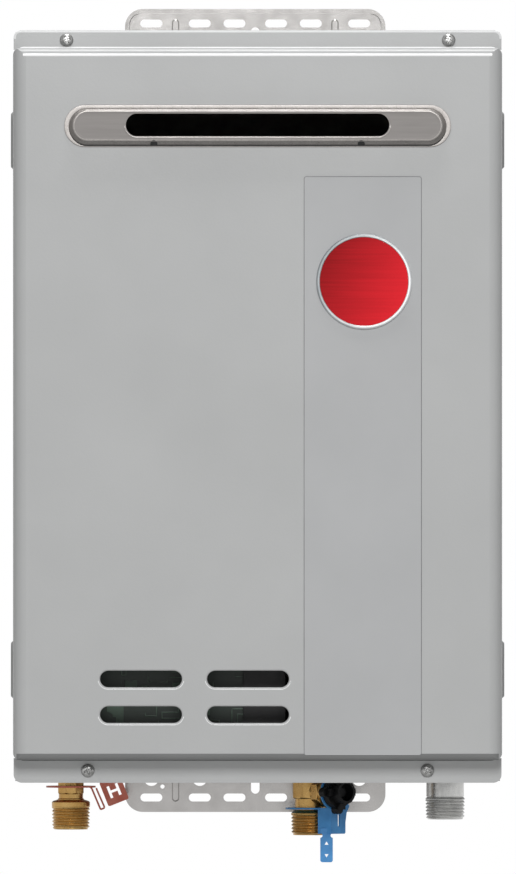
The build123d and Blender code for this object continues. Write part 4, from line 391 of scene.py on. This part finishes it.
def surface_piece(name, parts, body, slot, replaced=(), material=None):
    """Mesh piece from parts of (points in millimetres, quads). Doubled points are merged, which closes seams
    and poles, loose points go, and faces are turned outwards."""
    start, faces = 0, []
    for points, quads in parts:
        faces.append(quads + start)
        start += len(points)
    mesh = bpy.data.meshes.new(name)
    mesh.from_pydata(np.concatenate([points for points, _ in parts]) * MM, [], np.concatenate(faces))
    shape = bmesh.new()
    shape.from_mesh(mesh)
    bmesh.ops.remove_doubles(shape, verts=shape.verts, dist=1e-7)
    loose = [vertex for vertex in shape.verts if not vertex.link_faces]
    bmesh.ops.delete(shape, geom=loose, context="VERTS")
    bmesh.ops.recalc_face_normals(shape, faces=shape.faces)
    shape.to_mesh(mesh)
    shape.free()
    mesh.polygons.foreach_set("use_smooth", np.ones(len(mesh.polygons), bool))
    mesh.set_sharp_from_angle(angle=SHARP_ANGLE)
    mesh.materials.append(material or slot_materials[slot])
    piece = bpy.data.objects.new(name, mesh)
    bpy.context.collection.objects.link(piece)
    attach(piece, body)
    if replaced:
        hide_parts(*replaced)


def full_turn(count):
    """Evenly spaced angles of a whole turn, as one row."""
    return np.linspace(0, TAU, count, endpoint=False)[None, :]


def to_sides(wave, steepness=9):
    """Cosine or sine pushed out to -1 or 1 but for a narrow middle, which parts an outline's ends."""
    return np.clip(wave * steepness, -1, 1)


def rows_between(stations):
    """Rows of (radius, height, thread depth, flats share) between stations, which also hold a count of steps."""
    parts = []
    for first, last in zip(stations[:-1], stations[1:]):
        mix = np.linspace(0, 1, last[4], endpoint=False)[:, None]
        parts.append(np.array(first[:4]) * (1 - mix) + np.array(last[:4]) * mix)
    parts.append(np.array([stations[-1][:4]]))
    return np.concatenate(parts)


def fitting_rings(centre, stations, flats=8, columns=RING_COLUMNS):
    """Ring surface around an upright axis: outside down and bore up, closed both ways.

    The radius at a height and angle is the row's radius, drawn out to a regular polygon's sides by its
    flats share, less a helical groove times its thread depth. The groove is a rounded triangle wave with a
    flat root.
    """
    flat_root, rounding = 1.12, 1.2
    radius, level, thread, share = rows_between(stations).T[:, :, None]
    angle = full_turn(columns)
    sector = TAU / flats
    side = 1 / np.cos((angle + sector / 2) % sector - sector / 2)
    wave = (level / THREAD_PITCH + angle / TAU) % 1.0
    groove = np.clip(flat_root - 2 * flat_root * np.abs(wave - 0.5), 0, 1) ** rounding
    r = radius * (1 + share * (side - 1)) - thread * groove
    return np.stack([centre[0] + r * np.cos(angle), centre[1] + r * np.sin(angle), level + 0 * angle], 2)


def floor_plate(centre):
    """Fitting's plate on the floor: a rounded rectangle from its support directions, closed to its middle."""
    half_x, half_y, corner, sheet = 19, 9, 6, 3
    angle = full_turn(64)
    x = to_sides(np.cos(angle), 3) * half_x + corner * np.cos(angle)
    y = to_sides(np.sin(angle), 3) * half_y + corner * np.sin(angle)
    scale = np.array([0, 1, 1, 0])[:, None]
    level = FLOOR + np.array([0, 0, sheet, sheet])[:, None] + 0 * angle
    points = np.stack([centre[0] + scale * x, centre[1] + scale * y, level], 2)
    return grid_mesh(points, loop_columns=True)


def thread_stations(start, end, plain, bore, crest=THREAD_R):
    """Stations of a threaded end: plain band, thread that narrows a little, end and bore."""
    row_step = 0.13
    rows = int((start - plain - end) / row_step)
    return [
        (crest - 0.9, start, 0, 0, 3), (crest, start - 0.9, 0, 0, 2), (crest, start - plain, 0, 0, 2),
        (crest, start - plain - 1.4, THREAD_DEPTH, 0, 10), (crest - 0.25, end + 1.5, THREAD_DEPTH, 0, rows),
        (crest - 1.7, end, 0.2, 0, 10), (bore + 0.5, end, 0, 0, 3), (bore, end + 0.5, 0, 0, 2),
    ]


def hot_fitting():
    """Brass outlet: octagon, neck, shoulder, plain band and thread, with its plate above the floor."""
    octagon_end, neck_end, start, end = [CASE_BOTTOM - drop for drop in (10.9, 14.1, 16.1, 36.7)]
    stations = [
        (10.0, INLET_TOP, 0, 0, 1), (10.0, FLOOR, 0, 0, 1), (9.25, FLOOR, 0, 1, 1),
        (9.25, octagon_end + 0.8, 0, 1, 6), (8.95, octagon_end, 0, 0.5, 2), (8.85, octagon_end - 0.2, 0, 0, 2),
        (8.85, neck_end, 0, 0, 3), (9.6, neck_end - 0.5, 0, 0, 2), (9.6, neck_end - 0.9, 0, 0, 1),
        *thread_stations(start, end, plain=4.0, bore=9.0),
        (9.0, start - 4, 0, 0, 2), (6.5, start - 1, 0, 0, 2), (6.5, INLET_TOP, 0, 0, 1),
    ]
    rings = ring_mesh(fitting_rings(HOT, stations))
    surface_piece("hot_fitting", [rings, floor_plate(HOT)], "case", "brass", ("hot_outlet",))


def cold_fitting():
    """Brass inlet: octagon collar, round body and thread, with a branch turned forward and its hexagon.

    The body is a shell between its outside and its bore, open where the branch's bore meets it.
    """
    collar_end, body_end, start, end = [CASE_BOTTOM - drop for drop in (14.3, 22.4, 24.0, 40.7)]
    stations = [
        (10.0, INLET_TOP, 0, 0, 1), (10.0, FLOOR, 0, 0, 1), (12.4, FLOOR, 0, 1, 1),
        (12.4, collar_end + 0.8, 0, 1, 36), (12.0, collar_end, 0, 0.5, 2), (11.1, collar_end - 0.1, 0, 0, 2),
        (11.1, body_end, 0, 0, 8), *thread_stations(start, end, plain=1.0, bore=9.0)[:6],
    ]
    outside = fitting_rings(COLD, stations)
    level = outside[..., 2:]
    reach = outside[..., :2] - COLD
    bore = np.interp(level, [end, start - 3, start, INLET_TOP], [9.0, 9.0, 6.5, 6.5])
    inside = np.concatenate([COLD + reach / np.linalg.norm(reach, axis=2, keepdims=True) * bore, level], 2)
    opening_r, body_r = 7.6, 12
    turn = full_turn(RING_COLUMNS)[0] + TAU / (2 * RING_COLUMNS) - BRANCH_YAW + TAU / 4
    away = (turn + TAU / 2) % TAU - TAU / 2
    middle = (level[1:, :, 0] + level[:-1, :, 0]) / 2
    keep = np.hypot(body_r * away, middle - BRANCH_Z) > opening_r
    branch = [
        (9.0, 9.0, 0, 0, 1), (9.0, 11.4, 0, 0, 1), (9.35, 11.4, 0, 1, 1), (9.35, 17.0, 0, 1, 3),
        (9.1, 17.4, 0, 0.6, 2), (9.0, 17.4, 0, 0, 1), (9.0, 23.4, 0, 0, 3), (8.4, 24.0, 0, 0, 2),
        (7.0, 24.0, 0, 0, 1), (7.0, 12.0, 0, 0, 2),
    ]
    ring = fitting_rings((0, 0), branch, flats=6, columns=72)
    out = np.array([np.sin(BRANCH_YAW), -np.cos(BRANCH_YAW), 0])
    side = np.array([np.cos(BRANCH_YAW), np.sin(BRANCH_YAW), 0])
    up = np.array([0, 0, 1.0])
    pipe = np.array([*COLD, BRANCH_Z]) + ring[..., :1] * side + ring[..., 1:2] * up + ring[..., 2:] * out
    parts = [slab_mesh(outside, inside, keep, loop=True), ring_mesh(pipe), floor_plate(COLD)]
    surface_piece("cold_fitting", parts, "case", "brass", ("cold_inlet",))


def gas_fitting():
    """Steel nipple: plain upper part, thread and bore, with its plate above the floor."""
    plain_end, end = CASE_BOTTOM - 13.4, CASE_BOTTOM - 29.5
    top = FLOOR + 60
    stations = [
        (11.0, top, 0, 0, 1), (11.0, FLOOR + 6, 0, 0, 1), (13.65, FLOOR + 6, 0, 0, 1),
        (13.65, plain_end + 0.5, 0, 0, 4), (13.2, plain_end, 0, 0, 2),
        *thread_stations(plain_end - 0.3, end, plain=0.9, bore=9.0, crest=14.4), (9.0, top, 0, 0, 1),
    ]
    rings = ring_mesh(fitting_rings(GAS, stations))
    surface_piece("gas_fitting", [rings, floor_plate(GAS)], "case", "zinc_steel", ("gas_inlet",))


def cover_screws():
    """Four pan-head screws: domed heads with a crossed recess, from a height over radius and angle.

    The head's height falls off with the fourth power of the radius; the recess takes away its depth where
    either arm of the cross is nearer than half its width, with sloped sides and ends.
    """
    top_of_head, fall, recess = 3.2, 2.4, 1.9
    arm_reach, arm_half, end_slope, side_slope = 2.9, 0.75, 0.5, 0.3
    first_turn, turn_step = 0.35, 0.8
    shank_r, shank_end = 2.1, -9
    outside = np.concatenate([np.linspace(0, 3.6, 25), np.linspace(3.8, SCREW_R, 8)])
    radius = np.concatenate([outside, [SCREW_R, shank_r, shank_r, 0]])[:, None]
    angle = full_turn(80)
    x, y = radius * np.cos(angle), radius * np.sin(angle)
    dome = top_of_head - fall * (radius / SCREW_R) ** 4
    arm = np.minimum(np.abs(x), np.abs(y))
    reach = np.clip((arm_reach - np.maximum(np.abs(x), np.abs(y))) / end_slope, 0, 1)
    height = dome - recess * np.clip((arm_half - arm) / side_slope, 0, 1) * reach
    height[-4:] = np.array([0, 0, shank_end, shank_end])[:, None]
    low, high = np.array(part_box("cover_screws")) / MM
    left, bottom, right, top = low[0] + SCREW_R, low[2] + SCREW_R, high[0] - SCREW_R, high[2] - SCREW_R
    upper_pair = [(left, top), (right, top)]
    lower_pair = [(left + LOWER_SCREW_INSET, bottom), (right - LOWER_SCREW_INSET, bottom)]
    parts = []
    for index, (screw_x, screw_z) in enumerate(upper_pair + lower_pair):
        turn = first_turn + turn_step * index
        px = screw_x + x * np.cos(turn) - y * np.sin(turn)
        pz = screw_z + x * np.sin(turn) + y * np.cos(turn)
        parts.append(grid_mesh(np.stack([px, COVER_FLANGE - height, pz], 2), loop_columns=True))
    surface_piece("cross_head_screws", parts, "cover", "screw_steel", ("cover_screws",))


def film_shade_outline():
    """Painted shade round the film: a thin dark ridge between two rounded rectangles, 0.45 mm wide, which sinks
    into the cover along the lower edge."""
    low, high = np.array(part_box("accent_panel")) / MM
    inner, width, foot = 1.5, 0.45, 0.3
    middle, half = (low + high) / 2, (high - low) / 2 - inner
    angle = full_turn(64)
    corner = inner + np.array([0.0, 0.0, width, width])[:, None]
    x = middle[0] + to_sides(np.cos(angle)) * half[0] + corner * np.cos(angle)
    z = middle[2] + to_sides(np.sin(angle)) * half[2] + corner * np.sin(angle)
    rise = np.clip((z - low[2]) / inner, 0, 1)
    y = COVER_FACE + foot - rise * np.array([0.32, 1.08, 0.8, 0.32])[:, None]
    line = ring_mesh(np.stack([x, y, z], 2))
    surface_piece("film_shade_outline", [line], "cover", "accent_film", material=film_edge_shade)


def stadium_band(rows, centre=(SHIFT, EXHAUST_Z), sink=0.0):
    """Closed band round a long slot, from rows of (length, height, middle height, rise from the cover's face) of
    round-ended outlines.

    A point is the outline's end radius turned through an angle, shifted to the left or right end's centre. The
    upper run lies deeper by the sink.
    """
    length, height, middle, rise = np.array(rows, float).T[:, :, None]
    angle = full_turn(160)
    x = centre[0] + to_sides(np.cos(angle)) * (length - height) / 2 + height / 2 * np.cos(angle)
    z = centre[1] + middle + height / 2 * np.sin(angle)
    y = COVER_FACE - rise + sink * np.clip(2.5 * np.sin(angle) + 0.5, 0, 1)
    return ring_mesh(np.stack([x, y, z], 2))


def trim_rims():
    """Edges of the exhaust trim: flange, round of the face with the wall, and round of the slot are polished, and
    the margin that widens the face to the photographed outline is brushed like it."""
    flange = stadium_band([
        (278.8, 30.1, -0.7, 0.3), (278.8, 30.1, -0.7, 0.95), (278.5, 29.8, -0.7, 1.05), (278.2, 29.5, -0.7, 1.06),
        (273.0, 27.3, -1.3, 1.06), (272.6, 27.0, -1.35, 1.05), (272.2, 26.6, -1.4, 0.95), (272.2, 26.6, -1.4, 0.3),
    ])
    margin = stadium_band([
        (261.0, 17.3, -0.45, 8.03), (265.8, 21.8, -0.43, 8.07), (266.0, 22.0, -0.43, 7.0), (261.0, 17.3, -0.45, 7.0),
    ])
    face = stadium_band([
        (264.4, 20.4, -0.43, 8.09), (265.2, 21.2, -0.43, 8.08), (266.0, 22.0, -0.43, 7.99),
        (266.7, 22.7, -0.43, 7.75), (267.2, 23.2, -0.43, 7.3), (267.4, 23.4, -0.43, 6.6),
        (267.8, 23.8, -0.5, 5.5), (270.0, 25.1, -1.08, 3.3), (271.9, 26.4, -1.35, 1.3),
        (271.0, 25.5, -1.35, 1.3), (264.0, 20.0, -0.43, 5.5),
    ])
    slot = stadium_band([
        (192.8, 19.4, 0, 8.02), (192.2, 18.8, 0, 8.25), (191.6, 18.2, 0, 8.35), (191.0, 17.6, 0, 8.28),
        (190.4, 17.0, 0, 8.0), (190.0, 16.6, 0, 7.6), (189.7, 16.3, 0, 6.6), (192.0, 18.6, 0, 7.2),
    ], sink=0.8)
    surface_piece("trim_rims", [flange, face, slot], "cover", "stainless_steel", material=polished)
    surface_piece("trim_margin", [margin], "cover", "stainless_steel")


def trim_gap_shade():
    """Painted shadow in the gap under the trim: a thin round-ended band of black rubber that hangs lower than the
    trim's wall.
    """
    band = stadium_band([
        (271.6, 26.2, -2.15, 0.3), (271.6, 26.2, -2.15, 1.4), (270.4, 25.0, -2.15, 1.6), (269.0, 23.6, -2.15, 0.3),
    ])
    surface_piece("trim_gap_shade", [band], "cover", "rubber")


def drain_shade_fill():
    """Painted shade: black rubber that fills the trim's two drain notches to the slope of its wall.

    Each is a half ellipse with a nearly flat foot, shrunk to its middle in front and behind. Its depth follows
    the wall, which comes forward as it rises, as far as the face.
    """
    half_width, height, foot = 2.6, 3.2, 0.4
    wall_foot, wall_slope, wall_end = 1.6, 2.09, 7.3
    angle = full_turn(48)
    scale = np.array([0, 0.5, 0.85, 1, 1, 0])[:, None]
    swell = np.array([1.05, 1.0, 0.95, 0.85, -0.5, -0.5])[:, None]
    across = scale * half_width * np.cos(angle)
    up = scale * np.where(np.sin(angle) > 0, height, foot) * np.sin(angle)
    y = COVER_FACE - np.minimum(wall_foot + wall_slope * up, wall_end) - swell
    z = EXHAUST_Z - DRAIN_DROP + up
    grids = [np.stack([SHIFT + x + across, y, z], 2) for x in (-DRAIN_X, DRAIN_X)]
    surface_piece("drain_shade_fill", [grid_mesh(grid, loop_columns=True) for grid in grids], "cover", "rubber")


def louvre_lip_highlights():
    """Painted highlights on the lower lips of the four louvres: a pale band that turns from the face into each hole
    and sinks out of sight above."""
    rows = [
        (62.3, 15.3, 0, 0.02), (61.7, 14.7, 0, 0.05), (60.9, 13.9, 0, -0.15), (60.2, 13.2, 0, -0.65),
        (59.6, 12.6, 0, -1.45), (59.1, 12.1, 0, -2.5), (60.4, 13.4, 0, -2.5), (62.0, 15.0, 0, -0.7),
    ]
    places = [(SHIFT + x, COVER_BOTTOM + rise) for x in LOUVRE_X for rise in LOUVRE_RISE]
    bands = [stadium_band(rows, place, sink=2.6) for place in places]
    surface_piece("louvre_lip_highlights", bands, "cover", "cover_paint", material=lip_highlight_zinc)


def rounded_path(corners, cut):
    """Points along straight runs whose corners are quarter-like Bezier curves that start a cut away."""
    corners = np.array(corners, float)
    mix = np.linspace(0, 1, 7)[:, None]
    parts = [corners[:1]]
    for before, corner, after in zip(corners[:-2], corners[1:-1], corners[2:]):
        start = corner + (before - corner) / np.linalg.norm(before - corner) * cut
        end = corner + (after - corner) / np.linalg.norm(after - corner) * cut
        parts.append((1 - mix) ** 2 * start + 2 * mix * (1 - mix) * corner + mix ** 2 * end)
    parts.append(corners[-1:])
    return np.concatenate(parts)


def path_normals(path):
    """Unit normals of a flat path, to the left of its run."""
    along = np.gradient(path, axis=0)
    return np.stack([-along[:, 1], along[:, 0]], 1) / np.linalg.norm(along, axis=1)[:, None]


def drawn_line(name, corners, cut, half_width, front, rise, body, slot, material):
    """Thin line on an upright face: a low ridge of four-cornered section carried along a path, closed at its
    ends."""
    path = rounded_path(corners, cut)
    side = path_normals(path) * half_width
    section = np.stack([path - side, path, path + side, path], 1)
    section = np.concatenate([np.repeat(path[:1, None], 4, 1), section, np.repeat(path[-1:, None], 4, 1)])
    depth = np.tile(front + np.array([0, -rise, 0, rise]), (len(section), 1))
    depth[[0, -1]] = front
    points = np.stack([section[..., 0], depth, section[..., 1]], 2)
    surface_piece(name, [grid_mesh(points, loop_columns=True)], body, slot, material=material)


def face_lines():
    """Painted shade in the crease where the cover's lower bend meets its screw strip, painted highlights as bright
    lines at the foot and the front of its upper bend and along its upper rim, and a painted shade line on the
    step round the upper bracket's field.

    A line on the cover runs between its corners, inset from the cover's sides, to ends that lie lower or higher.
    """
    low, high = np.array(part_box("front_cover")) / MM
    for name, end, end_drop, corner, level, cut, half_width, front, rise, material in [
        ("cover_crease_shade", 1.5, -3.5, 5.0, CREASE_Z, 3.0, 0.75, COVER_FLANGE - 0.15, 0.35, crease_shade_paint),
        ("upper_foot_highlight", 1.2, 4.2, 5.2, UPPER_BEND + 0.55, 3.0, 0.65, COVER_FLANGE - 0.6, 0.25, bend_highlight_paint),
        ("upper_edge_highlight", 7.2, 0.0, 17.2, UPPER_BEND - 5.0, 3.0, 0.95, COVER_FACE, 0.25, bend_highlight_paint),
        ("upper_rim_highlight", 1.0, 5.2, 1.0, high[2] - 1.05, 5.0, 0.85, COVER_FLANGE, 0.25, rim_highlight_paint),
    ]:
        half = [(end, level - end_drop), (corner, level)]
        bent = [(low[0] + x, z) for x, z in half] + [(high[0] - x, z) for x, z in half[::-1]]
        drawn_line(name, bent, cut, half_width, front, rise, "cover", "cover_paint", material)
    low, high = np.array(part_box("upper_bracket")) / MM
    inset, leg = 3.4, 22
    left, right, top = low[0] + inset, high[0] - inset, high[2] - inset
    step = [(left, top - leg), (left, top), (right, top), (right, top - leg)]
    drawn_line("bracket_step_shade", step, cut=9.0, half_width=0.35, front=-BRACKET_FIELD, rise=0.2,
               body="case", slot="galvanised_steel", material=step_shade_zinc)


def lower_bend_shade():
    """Painted shade on the cover's lower bend: a dark skin on its quarter round, closed behind and drawn to a point
    at its ends.

    A point is the round's centre less a radius turned from the front to below, outside forward and inside back.
    Near the ends it follows the round of the cover's sides, where that lies further back.
    """
    low, high = np.array(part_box("front_cover")) / MM
    steps, outside, inside, first_inset = 24, 0.16, -0.25, 2.5
    turn = np.radians(np.linspace(4, 86, steps))
    turn = np.concatenate([turn, turn[::-1]])
    proud = np.repeat([outside, inside], steps)
    y = COVER_FACE + EDGE_ROUND - (EDGE_ROUND + proud) * np.cos(turn)
    z = LOWER_BEND + EDGE_ROUND - (EDGE_ROUND + proud) * np.sin(turn)
    inset = np.concatenate([[first_inset], np.linspace(first_inset, SIDE_ROUND, 28)])
    x = np.concatenate([low[0] + inset, high[0] - inset[::-1]])
    side = COVER_FACE + SIDE_ROUND - np.sqrt(SIDE_ROUND ** 2 - (SIDE_ROUND - inset) ** 2)
    side = np.concatenate([side, side[::-1]])[:, None]
    points = np.stack([x[:, None] + 0 * y, np.maximum(y, side - proud), 0 * side + z], 2)
    points[[0, -1]] = points[[0, -1]].mean(1, keepdims=True)
    skin = grid_mesh(points, loop_columns=True)
    surface_piece("lower_bend_shade", [skin], "cover", "cover_paint", material=bend_shade_paint)


def tag_plate(centre, tilt):
    """Plate with a cut-out H and rounded corners, as a slab tilted in its own plane.

    It is a grid whose lines lie on the strokes' edges. Cells of the strokes are left out, and the points past
    both corner lines are drawn in to an arc.
    """
    corner_u, corner_v = 6.6, 8.0
    u = np.array([-8.0, -7.7, -7.3, -6.6, -4.2, -2.3, 2.3, 4.2, 6.6, 7.3, 7.7, 8.0])
    v = np.array([-9.4, -9.1, -8.7, -8.0, -4.5, -0.9, 0.9, 4.5, 8.0, 8.7, 9.1, 9.4])
    keep = np.ones((len(u) - 1, len(v) - 1), bool)
    keep[4, 4:7] = keep[6, 4:7] = keep[5, 5] = False
    u, v = np.meshgrid(u, v, indexing="ij")
    past = np.stack([np.abs(u) - corner_u, np.abs(v) - corner_v])
    corner = (past > 0).all(0)
    shrink = np.where(corner, past.max(0) / np.maximum(np.hypot(*past), 1e-9), 1)
    u = np.where(corner, np.sign(u) * (corner_u + past[0] * shrink), u)
    v = np.where(corner, np.sign(v) * (corner_v + past[1] * shrink), v)
    x = centre[0] + u * np.cos(tilt) - v * np.sin(tilt)
    z = centre[2] + u * np.sin(tilt) + v * np.cos(tilt)
    sides = [np.stack([x, 0 * x + centre[1] + depth, z], 2) for depth in (0.0, TAG_SHEET)]
    return slab_mesh(*sides, keep)


def hot_tag():
    """Red tag: ring on the octagon, strap bent to a narrow loop and tilted plate with a cut-out H.

    The strap is a flat section carried along a bent path, offset along the path's normal by the sheet.
    """
    level, half_strap = CASE_BOTTOM - 6.3, 5.0
    inner_r, outer_r, bend = 10.32, 18.0, 1.7
    plate_x, plate_drop, plate_tilt = 31.4, 2.2, np.radians(21.7)
    angle = full_turn(72)
    radius = np.array([inner_r, outer_r, outer_r, inner_r])[:, None]
    height = np.array([0, 0, TAG_SHEET, TAG_SHEET])[:, None] + level + 0 * angle
    ring = np.stack([HOT[0] + radius * np.cos(angle), HOT[1] + radius * np.sin(angle), height], 2)
    path = rounded_path([(10.8, 0), (14.2, 0), (21.3, -16.8), (25.4, -15.1), (18.9, -0.2)], bend)
    outer = path + path_normals(path) * TAG_SHEET
    section = np.stack([path, outer, outer, path], 1)
    middle = np.repeat((path + outer)[:, None] / 2, 4, 1)
    section = np.concatenate([middle[:1], section, middle[-1:]])
    across = np.tile(half_strap * np.array([-1, -1, 1, 1]), (len(section), 1))
    across[[0, -1]] = 0
    strap = np.stack([HOT[0] + section[..., 0], HOT[1] + across, level + section[..., 1]], 2)
    plate = tag_plate((HOT[0] + plate_x, HOT[1] - half_strap, level - plate_drop), plate_tilt)
    parts = [ring_mesh(ring), grid_mesh(strap, loop_columns=True), plate]
    surface_piece("red_tag", parts, "hot_tag", "red_tag_plastic", ("hot_tag",))


hot_fitting()
cold_fitting()
gas_fitting()
cover_screws()
film_shade_outline()
trim_rims()
trim_gap_shade()
drain_shade_fill()
louvre_lip_highlights()
face_lines()
lower_bend_shade()
hot_tag()


def lamp(name, place, size, power, glossy=True):
    """Square soft lamp aimed at the middle of the object, hidden from the camera and, if not glossy, from
    reflections."""
    light = bpy.data.lights.new(name, "AREA")
    light.shape = "SQUARE"
    light.size = size
    light.energy = power
    holder = bpy.data.objects.new(name, light)
    bpy.context.collection.objects.link(holder)
    middle = Vector((0, -0.11, 0))
    holder.location = place
    holder.rotation_euler = (middle - Vector(place)).to_track_quat("-Z", "Y").to_euler()
    holder.visible_camera = False
    holder.visible_glossy = glossy


lamp("front_softbox", (0.0, -3.0, 1.1), size=1.0, power=54)
lamp("overhead_softbox", (0.0, -0.35, 2.3), size=1.0, power=36)
lamp("low_fill", (0.0, -3.2, -0.7), size=1.2, power=14, glossy=False)

# World: white where the camera or a reflection sees it, and a low even light on the object
even_light = 0.1
world = bpy.data.worlds.new("studio")
bpy.context.scene.world = world
world.use_nodes = True
sky = world.node_tree
rays = add(sky, "LightPath").outputs
seen = add(sky, "Math", {0: rays["Is Camera Ray"], 1: rays["Is Transmission Ray"]}, operation="MAXIMUM")
seen = add(sky, "Math", {0: seen.outputs["Value"], 1: rays["Is Glossy Ray"]}, operation="MAXIMUM")
level = add(sky, "MapRange", {"Value": seen.outputs["Value"], "To Min": even_light, "To Max": 1.0})
background = sky.nodes["Background"]
background.inputs["Color"].default_value = linear("#FFFFFF")
sky.links.new(level.outputs["Result"], background.inputs["Strength"])

# Pale floor below the frame of the picture, in metres
floor_left, floor_right, floor_front, floor_back, floor_level = -1.6, 1.6, -1.4, 0.7, -0.9
floor_points = [(x, y, floor_level) for y in (floor_front, floor_back) for x in (floor_left, floor_right)]
floor_mesh = bpy.data.meshes.new("pale_floor")
floor_mesh.from_pydata(floor_points, [], [(0, 1, 3, 2)])
# Painted board: off-white and matt
floor_mesh.materials.append(finish(
    "pale_studio_floor", ("#E6E6E5", "#ECECEB"), grain=3.0, bump=0.02, roughness=0.8, patch=200.0,
))
floor = bpy.data.objects.new("pale_floor", floor_mesh)
bpy.context.collection.objects.link(floor)

# Camera at the photograph's straight front view, far off with a long lens, in metres
view_x, view_distance, view_z = 0.0020, 15.76, -0.0194
camera = bpy.data.cameras.new("camera")
camera.lens = 900
camera.sensor_width = 36
camera.clip_end = 60
viewer = bpy.data.objects.new("camera", camera)
viewer.location = (view_x, COVER_FACE * MM - view_distance, view_z)
viewer.rotation_euler = (np.radians(90), 0, 0)
bpy.context.collection.objects.link(viewer)
bpy.context.scene.camera = viewer
bpy.context.scene.view_settings.view_transform = "Standard"
